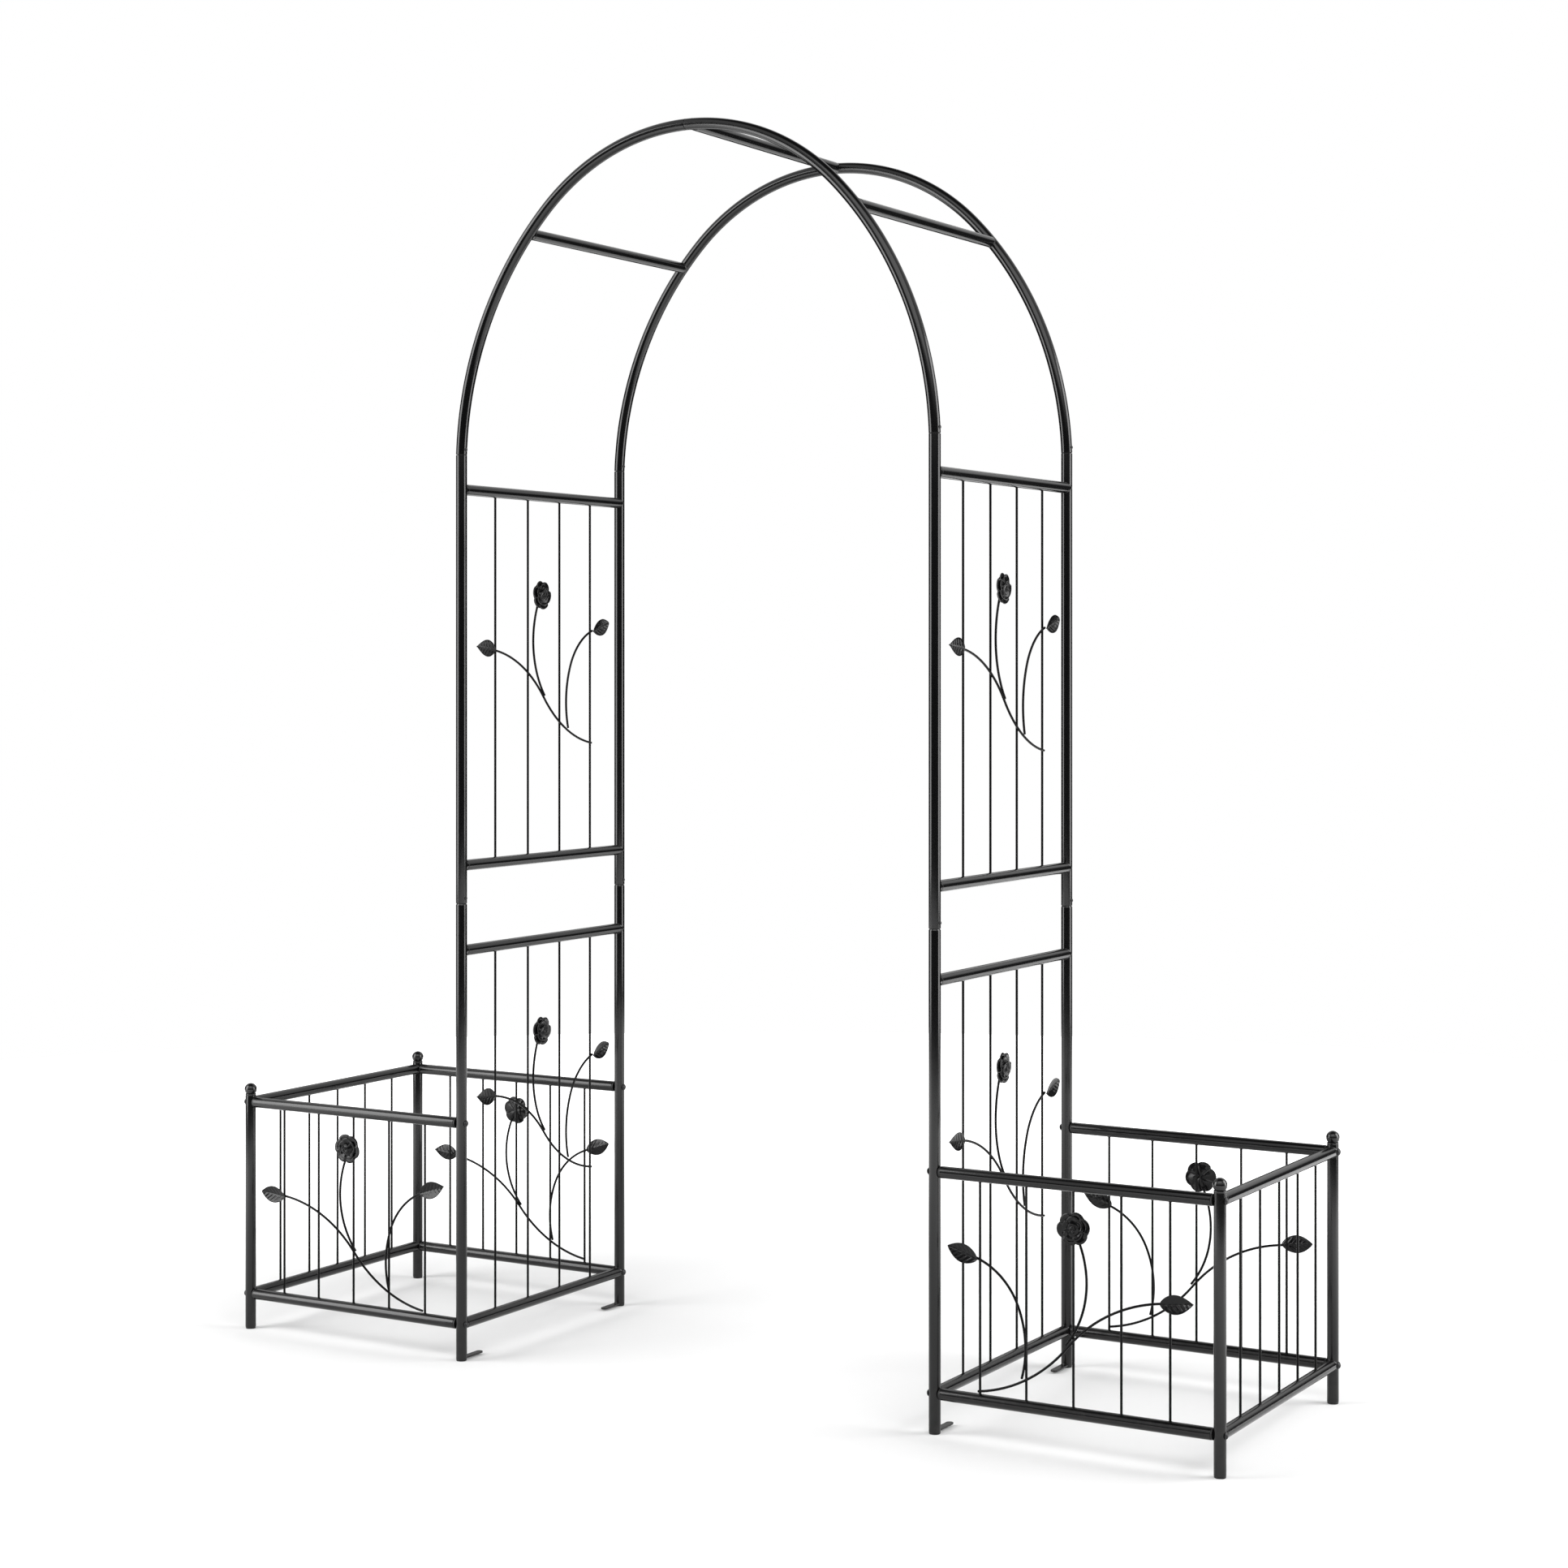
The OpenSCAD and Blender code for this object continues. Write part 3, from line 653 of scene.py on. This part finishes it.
class TRELLIS_OT_posts(bpy.types.Operator):
    """Arch posts and outer posts, with the necked joint at mid height."""

    bl_idname = "trellis.posts"
    bl_label = "Posts"

    def execute(self, context):
        sizes = context.scene.trellis_sizes
        r, wall, bore = sizes.tube / 2, sizes.tube_wall, sizes.tube / 2 - sizes.tube_wall
        spigot = bore - PLUG_FIT
        slim = spigot - 0.0015  # where a post's top runs up inside the arch
        for side, _, row, _ in CORNERS:
            lower, upper, outer = (f"{side}_{row}_{kind}_post" for kind in ("lower", "upper", "outer"))
            foot, top = (c[2] for c in corners(lower))
            joint, end = (c[2] for c in corners(upper))
            shoulder, seam = joint - sizes.neck, corners(f"{side}_{row}_arch_arc")[0][2] - sizes.seam
            self.tube(lower, [(foot, bore), (foot, r), (shoulder, r), (joint, spigot), (top, spigot),
                              (top, spigot - wall), (joint, spigot - wall), (shoulder, bore)], sizes)
            self.tube(upper, [(joint, bore), (joint, r), (seam, r), (seam, slim), (end, slim),
                              (end, slim - wall), (seam - 0.0012, slim - wall), (seam - 0.0037, bore)], sizes)
            low, high = (c[2] for c in corners(outer))
            self.tube(outer, [(low, bore), (low, r), (high, r), (high, bore)], sizes)
        return {"FINISHED"}

    def tube(self, node, shape, sizes):
        outline = rounded(shape, sizes.edge, 4, True)
        piece(node, "coated_tube", [(turned(outline, axis_point(node), Z, 56), True)])


def arch_path(side, row, sizes):
    """Centre line of an arch tube. The side curve leaves the post at lean and the
    crown curve meets it at blend with the same tangent, so the two radii solve the pair of
    equations that put the ends on the post and on the apex."""
    r = sizes.tube / 2
    lo, hi = corners(f"{side}_{row}_arch_arc")
    post = middle(f"{side}_{row}_lower_post")
    seam, span = lo[2] + r * math.sin(sizes.lean), abs(post[0])
    rise = hi[2] - r - seam
    (cl, sl), (cb, sb) = unit(sizes.lean), unit(sizes.blend)
    det = (cl - cb) * (1 - sb) - cb * (sb - sl)
    wide = (span * (1 - sb) - cb * rise) / det
    crown = ((cl - cb) * rise - (sb - sl) * span) / det
    gap = sizes.seam / crown
    a = np.linspace(sizes.lean, sizes.blend, 40)
    b = np.linspace(sizes.blend, math.pi / 2 - gap, 44)[1:]
    flank = np.stack([span - wide * cl + wide * np.cos(a), seam - wide * sl + wide * np.sin(a)], -1)
    top = np.stack([crown * np.cos(b), seam + rise - crown + crown * np.sin(b)], -1)
    path = np.concatenate([flank, top])
    sign = math.copysign(1, post[0])
    return np.stack([sign * path[:, 0], np.full(len(path), post[1]), path[:, 1]], -1)


class TRELLIS_OT_arch(bpy.types.Operator):
    """Four bent arch tubes, each from its post to the apex."""

    bl_idname = "trellis.arch"
    bl_label = "Arch tubes"

    def execute(self, context):
        sizes = context.scene.trellis_sizes
        r = sizes.tube / 2
        for side, _, row, _ in CORNERS:
            inner = arch_path(side, row, sizes)
            outer, radii = (k[1:-1] for k in rounded_ends(inner, r, sizes.edge))
            stations = np.concatenate([outer, inner[::-1]])
            radii = np.concatenate([radii, np.full(len(inner), r - sizes.tube_wall)])
            headings = np.concatenate([tangents(outer), tangents(inner)[::-1]])
            piece(f"{side}_{row}_arch_arc", "coated_tube", [(swept(stations, radii, headings, Y, 48), True)])
        return {"FINISHED"}


class TRELLIS_OT_bars(bpy.types.Operator):
    """Ladder bars, basket end rails and crossbars, welded between their tubes."""

    bl_idname = "trellis.bars"
    bl_label = "Welded bars"

    def execute(self, context):
        sizes = context.scene.trellis_sizes
        r = sizes.tube / 2
        start, reach = r + 2 * sizes.seam, abs(middle("left_front_lower_post")[1])
        welded = []
        for side, _ in SIDES:
            for node in [f"{side}_{level}_ladder_bars" for level in LEVELS] + [f"{side}_basket_end_rails"]:
                lo, hi = corners(node)
                welded.append((node, [(middle(node)[0], z, X) for z in (lo[2] + r, hi[2] - r)]))
        path = arch_path("right", "front", sizes)
        for name in ("arch_left_crossbar", "arch_top_crossbar", "arch_right_crossbar"):
            x, _, z = middle(name)
            near = np.argmin(np.hypot(path[:, 0] - abs(x), path[:, 2] - z))
            heading = normalised(path[near] - path[near - 1]) * (math.copysign(1, x), 1, 1)
            welded.append((name, [(x, z, np.cross(Y, heading))]))
        for node, places in welded:
            parts = []
            for x, z, across in places:
                centre, half = np.array([x, 0, z]), Y * (reach - start)
                parts.append((bar(centre - half, centre + half, r, sizes.edge, across), False))
                for sign in (-1, 1):
                    collar = weld_collar(centre + Y * sign * reach, -sign * Y, across, start, sizes)
                    parts.append((collar, True))
            piece(node, "coated_tube", parts)
        return {"FINISHED"}


class TRELLIS_OT_rails(bpy.types.Operator):
    """Bolted basket rails with cleanly cut ends."""

    bl_idname = "trellis.rails"
    bl_label = "Bolted rails"

    def execute(self, context):
        sizes = context.scene.trellis_sizes
        r, bore = sizes.tube / 2, sizes.tube / 2 - sizes.tube_wall
        for side, _, row, _ in CORNERS:
            node = f"{side}_{row}_basket_rails"
            lo, hi = corners(node)
            outline = rounded([(lo[0], bore), (lo[0], r), (hi[0], r), (hi[0], bore)], sizes.edge, 4, True)
            y = middle(node)[1]
            rails = [turned(outline, (0, y, z), X) for z in (lo[2] + r, hi[2] - r)]
            piece(node, "coated_tube", [(rings, True) for rings in rails])
        return {"FINISHED"}


class TRELLIS_OT_rods(bpy.types.Operator):
    """Straight rods of the ladder panels and baskets, each welded into its bars."""

    bl_idname = "trellis.rods"
    bl_label = "Rods"

    def execute(self, context):
        sizes = context.scene.trellis_sizes
        for side, _ in SIDES:
            for level in LEVELS:
                self.panel(f"{side}_{level}_ladder_rods", 1, sizes.panel_rods, sizes)
            self.panel(f"{side}_basket_end_rods", 1, sizes.basket_rods, sizes)
            for row, _ in ROWS:
                self.panel(f"{side}_{row}_basket_rods", 0, sizes.basket_rods, sizes)
        return {"FINISHED"}

    def panel(self, node, axis, count, sizes):
        """Rods spread along the axis, with a small bead where each leaves its bar."""
        lo, hi = corners(node)
        r, tube_r = sizes.rod / 2, sizes.tube / 2
        along, parts = np.eye(3)[axis], []
        seat = tube_r - 0.0045  # from a rod's end, sunk in its bar, to the bar's axis
        for s in np.linspace(lo[axis] + r, hi[axis] - r, count):
            base = axis_point(node) * (1 - along) + s * along
            parts.append((bar(base + Z * lo[2], base + Z * hi[2], r, 0.0003, along, 20, 10), False))
            for z, up in ((lo[2] - seat, 1), (hi[2] + seat, -1)):
                loop = saddle(base + Z * z, up * Z, np.cross(along, Z), r + 0.0002, tube_r + 0.00015, 24)
                parts.append((bead(loop, 8, sizes.weld, 0.12, 5), True))
        piece(node, "coated_wire", parts)


# Vine design in metres, stem end at the origin: points of its three wires
STEM = ((0, 0), (-0.077, 0.025), (-0.152, 0.086), (-0.311, 0.171))
FLOWER_STEM = ((-0.184, 0.188), (-0.170, 0.252))
LEAF_STEM = ((-0.068, 0.142), (0.003, 0.207))
STEM_HEADING, LEAF_STEM_TURN = math.radians(172), math.radians(46)
FLOWER_AT, LEAF_LAP = (-0.164, 0.269), 0.005


def vine_wires(sizes):
    """Paths of the stem, the flower's stem and the leaf's stem, and the headings at their ends.
    The two branches start beside the stem, at its third and second points."""
    stem, headings = tangent_arcs(STEM, STEM_HEADING)
    wires, ends = [stem], headings[-1:]
    for k, turn, branch in ((2, 0, FLOWER_STEM), (1, LEAF_STEM_TURN, LEAF_STEM)):
        beside = STEM[k] + (sizes.wire + sizes.seam) * unit(headings[k] - math.pi / 2)
        path, at = tangent_arcs([beside, *branch], headings[k] - turn)
        wires.append(path)
        ends.append(at[-1])
    return wires, ends


class Plane:
    """Where a vine's flat design lies: across, up and out of its panel, set so that the
    design's lowest and nearest points meet its CAD node's box."""

    def __init__(self, node, across, out, sizes):
        self.across, self.out, self.up = across, out, Z
        r = sizes.wire / 2
        lo, hi = corners(node)
        flat = np.concatenate(vine_wires(sizes)[0])
        axis = int(np.argmax(np.abs(across)))
        nearest = hi[axis] - r - (across[axis] * flat[:, 0]).max()
        foot, head = lo[2] + r - flat[:, 1].min(), hi[2] - r - flat[:, 1].max()
        base = foot if abs(foot - head) < SHIFT else head
        self.origin = middle(node) * np.abs(out) + nearest * np.abs(across) + base * Z

    def at(self, u, v, w=0.0):
        u, v, w = (np.asarray(k, float)[..., None] for k in (u, v, w))
        return self.origin + u * self.across + v * self.up + w * self.out


def vine_planes(sizes):
    """Every vine's node, group and plane."""
    planes = []
    for side, s in SIDES:
        for level in LEVELS:
            node = f"{side}_{level}_ladder_vine"
            planes.append((node, "ladder", Plane(node, Y, X, sizes)))
        for row, r in ROWS:
            node = f"{side}_{row}_basket_vine"
            planes.append((node, "basket", Plane(node, -s * X, r * Y, sizes)))
    return planes


def pressed(kind, sheets, sizes):
    """One piece of pressed sheets for each group of panels, laid on the wires of all its vines."""
    off = sizes.wire / 2 + sizes.seam
    for wanted in ("ladder", "basket"):
        parts = [(plane.at(*np.moveaxis(sheet + off * Z, -1, 0)), False)
                 for _, group, plane in vine_planes(sizes) if group == wanted for sheet in sheets]
        piece(f"{wanted}_{kind}", "pressed_sheet", parts, 50.0)


class TRELLIS_OT_vines(bpy.types.Operator):
    """Bent wires of the vines, tacked to each other and to the rods."""

    bl_idname = "trellis.vines"
    bl_label = "Vine wires"

    def execute(self, context):
        sizes = context.scene.trellis_sizes
        r = sizes.wire / 2
        for node, group, plane in vine_planes(sizes):
            axis, count = (1, sizes.panel_rods) if group == "ladder" else (0, sizes.basket_rods)
            lo, hi = corners(node.replace("vine", "rods"))
            rods, parts = np.linspace(lo[axis] + r, hi[axis] - r, count), []
            for flat in vine_wires(sizes)[0]:
                path = plane.at(*evenly(flat, 0.004).T)
                stations, radii = rounded_ends(path, r, 0.0009, 5)
                # The seven stations of a rounded end share the heading of the path's end
                near = np.clip(np.arange(len(stations)) - 6, 0, len(path) - 1)
                parts.append((swept(stations, radii, tangents(path)[near], plane.out, 18), False))
                parts += self.tacks(path, rods, axis, plane, sizes)
            piece(node, "coated_wire", parts)
        return {"FINISHED"}

    def tacks(self, path, rods, axis, plane, sizes):
        """A flattened drop of weld where the wire crosses a rod, between the two."""
        parts, place = [], path[:, axis]
        a = np.linspace(0.12, math.pi - 0.12, 9)
        drop = np.stack([-0.0013 * np.cos(a), 0.0021 * np.sin(a)], -1)
        for rod in rods:
            for i in np.nonzero(np.diff(np.sign(place - rod)))[0][:1]:
                t = (rod - place[i]) / (place[i + 1] - place[i])
                at = path[i] + t * (path[i + 1] - path[i]) - plane.out * (sizes.wire / 2 + sizes.seam / 2)
                parts.append((turned(drop, at, plane.out, 16), False))
        return parts


def petal_ring(petals, radius, lift, cup, phase, thick, notch=0.13):
    """One pressed ring of overlapping petals, closed. On its outline the radius swells to full
    at a petal's middle and falls by notch between petals; inside, a share q of it is taken.
    The face rises with cup q^2. Across each petal it climbs slowly and drops back at once, so
    that the petal laps over the next one, and its rim curls down. The underside is the same
    face, thick lower, and the two meet in a rounded rim."""
    a = around(petals * 20)
    turn = np.mod((a - phase) * petals / TAU, 1.0)
    lobe = np.sin(turn * math.pi) ** 0.62
    size = 1 + 0.035 * np.sin(a * 2 + phase * 5)
    outline = radius * size * (1 - notch * (1 - lobe))
    q = np.concatenate([np.linspace(0.04, 0.94, 15), [0.985, 1.0]])[:, None]
    lap = 0.0024 * (np.minimum(turn / 0.9, (1 - turn) / 0.1) - 0.5) * np.clip((q - 0.25) / 0.4, 0, 1)
    curl = -0.0022 * np.clip((q - 0.7) / 0.3, 0, 1) ** 2
    dish = -0.0010 * np.sin(turn * math.pi) * np.sin(q * math.pi)
    face = lift + cup * q**2 + lap + curl + dish
    edge = np.where(q > 0.95, (q - 0.95) / 0.05, 0.0)
    top = face - thick / 2 * edge**2
    under = face - thick + thick / 2 * edge**2
    flat = np.stack([q * outline * np.cos(a), q * outline * np.sin(a)], -1)
    faces = [np.concatenate([flat, h[..., None]], -1) for h in (top, under)]
    return np.concatenate([faces[0], faces[1][-2::-1]])


class TRELLIS_OT_flowers(bpy.types.Operator):
    """Pressed rosettes: two rings of lapped petals round a folded heart."""

    bl_idname = "trellis.flowers"
    bl_label = "Flowers"

    def execute(self, context):
        sizes = context.scene.trellis_sizes
        pressed("flowers", [rings + (*FLOWER_AT, 0) for rings in self.layers(sizes)], sizes)
        return {"FINISHED"}

    def layers(self, sizes):
        """Outer and inner petals, then the heart: a low dome with a spiral fold, whose height
        is a quarter cosine of the radius plus a crest that winds inwards nearly two turns."""
        r, t = sizes.flower / 2, sizes.sheet
        outer = petal_ring(6, r, t * 1.6, 0.0034, 0.35, t)
        inner = petal_ring(5, r * 0.7, t * 2.9, 0.0040, 0.9, t, 0.1)
        a, q = around(64), np.linspace(0.03, 1.0, 30)[:, None]
        crest = 0.5 + 0.5 * np.cos(TAU * 1.9 * q - a)
        radius = sizes.flower * 0.24 * q * (1 + 0.07 * np.cos(a * 3 + 4 * q))
        dome = 0.0022 + 0.0040 * np.cos(q * math.pi / 2) + 0.0024 * crest**2 * np.sin(q * math.pi) ** 0.5
        height = t * 2.4 + dome * (1 - q**6)
        top = np.stack([radius * np.cos(a), radius * np.sin(a), height], -1)
        base = top[-1:] * (0.9, 0.9, 0) + (0, 0, t * 1.4)
        return [outer, inner, np.concatenate([top, base])]


class TRELLIS_OT_leaves(bpy.types.Operator):
    """Pressed leaves with a midrib and side veins, one at each stem's tip."""

    bl_idname = "trellis.leaves"
    bl_label = "Leaves"

    def execute(self, context):
        sizes = context.scene.trellis_sizes
        tip, _, side_tip = vine_wires(sizes)[1]
        x, y, z = np.moveaxis(self.leaf(sizes), -1, 0)
        sheets = []
        for at, heading in ((STEM[-1], tip), (LEAF_STEM[-1], side_tip)):
            c, s = unit(heading)
            sheets.append(np.stack([at[0] + x * c - y * s, at[1] + x * s + y * c, z], -1))
        pressed("leaves", sheets, sizes)
        return {"FINISHED"}

    def leaf(self, sizes):
        """Closed leaf along +x. Its half width at share p of the length is the width's half
        times sin(pi p^0.9) to the power 0.68 + 0.2 p, full at the base and drawn to a point.
        Its halves rise from the midrib like a shallow trough, it bows over its length, and side
        veins are pressed in as ridges whose phase runs forward with the distance from the rib."""
        length, half, t = sizes.leaf, sizes.leaf_width / 2, sizes.sheet
        p = np.concatenate([[0.0, 0.008, 0.02], np.linspace(0.045, 0.97, 60), [0.985, 0.995, 1.0]])[:, None]
        width = half * np.sin(math.pi * p**0.9) ** (0.68 + 0.2 * p) + 0.0003
        v = np.sin(np.linspace(-math.pi / 2, math.pi / 2, 33))
        x = -LEAF_LAP + p * length
        full, side = np.sin(math.pi * p), np.abs(v)
        off = side * width
        rib = 0.0010 * np.exp(-((off / 0.0011) ** 2))
        wave = np.sin((p * length - off * 0.9) / 0.0082 * TAU)
        veins = 0.00048 * (np.maximum(wave, -0.25) + 0.25) * np.sin(side**0.6 * math.pi) * full**0.4
        face = 0.0042 * side**1.15 * full**0.8 + 0.0024 * (2 * p - 1) ** 2 - rib - veins + 0.0020
        edge = side**10
        top = face - t / 2 * edge
        under = np.maximum(face - t + t / 2 * edge, 0.0)
        top = np.maximum(top, under + 0.0001)
        sheet = [np.stack([x + 0 * v, v * width, h], -1) for h in (top, under)]
        return np.concatenate([sheet[0], sheet[1][:, ::-1]], 1)


class TRELLIS_OT_finials(bpy.types.Operator):
    """Glossy ball finials on turned collars."""

    bl_idname = "trellis.finials"
    bl_label = "Finials"

    def execute(self, context):
        sizes = context.scene.trellis_sizes
        r, parts = sizes.tube / 2, []
        top = corners("post_finials")[1][2]
        a = np.linspace(math.radians(52), math.radians(178.5), 40)
        for side, _, row, _ in CORNERS:
            post = f"{side}_{row}_outer_post"
            seat = corners(post)[1][2]
            ball = (top - seat) / 2
            globe = np.stack([seat + ball - ball * np.cos(a), ball * np.sin(a)], -1)
            # Mould line: a faint rise round the ball's middle
            globe[:, 1] *= 1 + 0.006 * np.exp(-(((globe[:, 0] - seat - ball) / 0.0004) ** 2))
            neck, rim = globe[0], seat + HEAD_FIT
            collar = rounded([(seat - 0.006, 0.0), (seat - 0.006, r - 0.0014), (rim, r - 0.0014), (rim, r),
                              (seat + 0.0030, r), (seat + 0.0036, neck[1] * 0.86), tuple(neck)], 0.0006, 4)
            parts.append((turned(np.concatenate([collar[1:-1], globe]), axis_point(post), Z, 56), False))
        piece("post_finials", "finial_black", parts)
        return {"FINISHED"}


class TRELLIS_OT_feet(bpy.types.Operator):
    """Moulded foot caps, and the flat tabs that pin the arch posts to the ground."""

    bl_idname = "trellis.feet"
    bl_label = "Feet"

    def execute(self, context):
        sizes = context.scene.trellis_sizes
        r = sizes.tube / 2
        collar, plug = r - COLLAR_SET, r - sizes.tube_wall - PLUG_FIT
        low, high = (c[2] for c in corners("foot_tabs"))
        caps, tabs = [], []
        for side, _, row, sign in CORNERS:
            for kind in ("lower", "outer"):
                post = f"{side}_{row}_{kind}_post"
                foot = corners(post)[0][2]
                end = foot + PLUG_DEPTH
                profile = rounded([(0.0, 0.0), (0.0, collar - 0.0004), (0.0008, collar), (foot, collar),
                                   (foot, plug), (end, plug), (end, 0.0)], 0.0006, 4)
                profile[:, 1] = np.maximum(profile[:, 1], 0.0002)
                caps.append((turned(profile, axis_point(post), Z), False))
            post = axis_point(f"{side}_{row}_lower_post")
            tabs.append((self.tab(post, -sign, low, high, sizes), False))
            tabs.append((self.toe_weld(post, -sign, high, sizes), True))
        piece("foot_caps", "cap_plastic", caps)
        piece("foot_tabs", "coated_tube", tabs)
        return {"FINISHED"}

    def tab(self, post, towards, low, high, sizes):
        """Flat bar: an outline that starts round the post, runs straight and ends in a half
        circle, stacked from low to high, and drawn in by a quarter circle at both faces."""
        half, gap = sizes.tab_width / 2, sizes.tube / 2 + sizes.seam
        end = np.linspace(0, math.pi, 25)
        back = np.linspace(-half, half, 13)
        outline = np.concatenate([np.stack([half * np.cos(end), sizes.tab - half + half * np.sin(end)], -1),
                                  np.stack([back, np.sqrt(gap**2 - back**2)], -1)])
        ahead, behind = np.roll(outline, -1, 0), np.roll(outline, 1, 0)
        t = normalised(ahead - behind)
        inward = np.stack([-t[:, 1], t[:, 0]], -1)
        e, a = 0.0006, np.linspace(0, math.pi / 2, 5)
        fall, climb = e * (1 - np.sin(a)), e * (1 - np.cos(a))
        inset = np.concatenate([[e * 1.4], fall, climb, [e * 1.4]])
        z = np.concatenate([[low], low + climb, high - fall, [high]])
        flat = outline[None] + inset[:, None, None] * inward[None]
        height = np.broadcast_to(z[:, None, None], (*flat.shape[:2], 1))
        return np.concatenate([flat * (1, towards), height], -1) + post

    def toe_weld(self, post, towards, high, sizes):
        """Bead over the joint of tab and post: a flattened loop along the post's front."""
        gap = sizes.tube / 2 + 0.0004
        a = np.linspace(-0.62, 0.62, 14)
        front = np.stack([gap * np.sin(a), towards * gap * np.cos(a), np.full(len(a), high + 0.0002)], -1)
        back = front[::-1] - towards * 0.0004 * Y
        return bead(np.concatenate([front, back]) + post, 8, 0.0008, 0.1, 9)


class TRELLIS_OT_fasteners(bpy.types.Operator):
    """Rail plugs, carriage bolts, joint screws and the hidden apex sleeves."""

    bl_idname = "trellis.fasteners"
    bl_label = "Fasteners"

    def execute(self, context):
        sizes = context.scene.trellis_sizes
        r, bore = sizes.tube / 2, sizes.tube / 2 - sizes.tube_wall - PLUG_FIT
        flange, hole = r + sizes.seam + 0.0028, 0.0031
        outline = rounded([(r + sizes.seam, hole), (r + sizes.seam, r - COLLAR_SET), (flange, r - COLLAR_SET),
                           (flange, bore), (flange + PLUG_DEPTH, bore), (flange + PLUG_DEPTH, hole)],
                          0.0004, 4, True)
        bolt = self.head(0.006, 0.0036, r + HEAD_FIT, 0.003, -0.02)
        ends = list(self.rail_ends(r))
        piece("rail_plugs", "cap_plastic", [(turned(outline, at, way, 40), True) for at, way in ends])
        piece("rail_bolts", "fastener_black", [(turned(bolt, at, -way, 40), False) for at, way in ends])
        self.screws(sizes)
        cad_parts["apex_sleeves"].material_slots[0].material = finish_of("sleeve_steel")
        return {"FINISHED"}

    def rail_ends(self, r):
        """Each rail end: the post's axis at the rail's height, and the way to the rail."""
        for side, s, row, _ in CORNERS:
            lo, hi = corners(f"{side}_{row}_basket_rails")
            for z in (lo[2] + r, hi[2] - r):
                for kind, way in (("lower", s), ("outer", -s)):
                    yield axis_point(f"{side}_{row}_{kind}_post") + Z * z, way * X

    def head(self, radius, height, under, shank, tail):
        """Profile of a domed head on its shank: the dome is a circle's cap over a short rim."""
        ball = (radius**2 + height**2) / (2 * height)
        a = np.linspace(0.02, math.asin(min(1.0, radius / ball)), 18)
        dome = np.stack([under + height - ball + ball * np.cos(a), ball * np.sin(a)], -1)
        rim = rounded([tuple(dome[-1]), (under, radius * 0.985), (under, shank), (tail, shank),
                       (tail, 0.0002)], 0.0002, 3)
        return np.concatenate([dome, rim[1:]])

    def screws(self, sizes):
        """Pan heads with a cross recess: within the cross's arms the head's face is lowered."""
        under, parts = sizes.tube / 2 + HEAD_FIT, []
        profile = self.head(0.0034, 0.002, under, 0.002, under - 0.008)
        for side, _, row, _ in CORNERS:
            joint = corners(f"{side}_{row}_upper_post")[0][2]
            path = arch_path(side, row, sizes)
            rise = np.linalg.norm(path - path[0], axis=1)
            k = int(np.searchsorted(rise, SCREW_REACH))
            step = path[k] - path[k - 1]
            t = (SCREW_REACH - rise[k - 1]) / (rise[k] - rise[k - 1])
            for at, way in ((axis_point(f"{side}_{row}_lower_post") + Z * (joint + SCREW_REACH), X),
                            (path[k - 1] + t * step, np.cross(Y, normalised(step)))):
                way = way * math.copysign(1, way[0])
                rings = turned(profile, at, way)
                local = rings - at
                a, b = local @ Y, local @ np.cross(way, Y)
                arm = np.maximum(*(np.exp(-((p / CROSS[0]) ** 6) - (q / CROSS[1]) ** 6)
                                   for p, q in ((a, b), (b, a))))
                crown = local @ way > under + 0.0001
                parts.append((rings - np.where(crown, 0.0009 * arm, 0)[..., None] * way, False))
        piece("joint_screws", "fastener_black", parts)


class TRELLIS_PT_panel(bpy.types.Panel):
    """Sidebar panel of the trellis arch."""

    bl_label = "Trellis arch"
    bl_space_type = "VIEW_3D"
    bl_region_type = "UI"
    bl_category = "Trellis arch"

    def draw(self, context):
        for group in ("trellis_sizes", "trellis_finish", "trellis_studio"):
            settings = getattr(context.scene, group)
            box = self.layout.box()
            for name in type(settings).__annotations__:
                box.prop(settings, name)
        for operator in STEPS:
            self.layout.operator(operator.bl_idname)


GROUPS = {"trellis_sizes": TrellisSizes, "trellis_finish": TrellisFinish, "trellis_studio": TrellisStudio}
STEPS = (TRELLIS_OT_studio, TRELLIS_OT_posts, TRELLIS_OT_arch, TRELLIS_OT_bars, TRELLIS_OT_rails,
         TRELLIS_OT_rods, TRELLIS_OT_vines, TRELLIS_OT_flowers, TRELLIS_OT_leaves, TRELLIS_OT_finials,
         TRELLIS_OT_feet, TRELLIS_OT_fasteners)
CLASSES = (*GROUPS.values(), *STEPS, TRELLIS_PT_panel)


def register():
    for cls in CLASSES:
        bpy.utils.register_class(cls)
    for name, cls in GROUPS.items():
        setattr(bpy.types.Scene, name, PointerProperty(type=cls))


def unregister():
    for name in GROUPS:
        delattr(bpy.types.Scene, name)
    for cls in reversed(CLASSES):
        bpy.utils.unregister_class(cls)


def main():
    register()
    for step in STEPS:
        group, name = step.bl_idname.split(".")
        getattr(getattr(bpy.ops, group), name)()


if __name__ == "__main__":
    main()
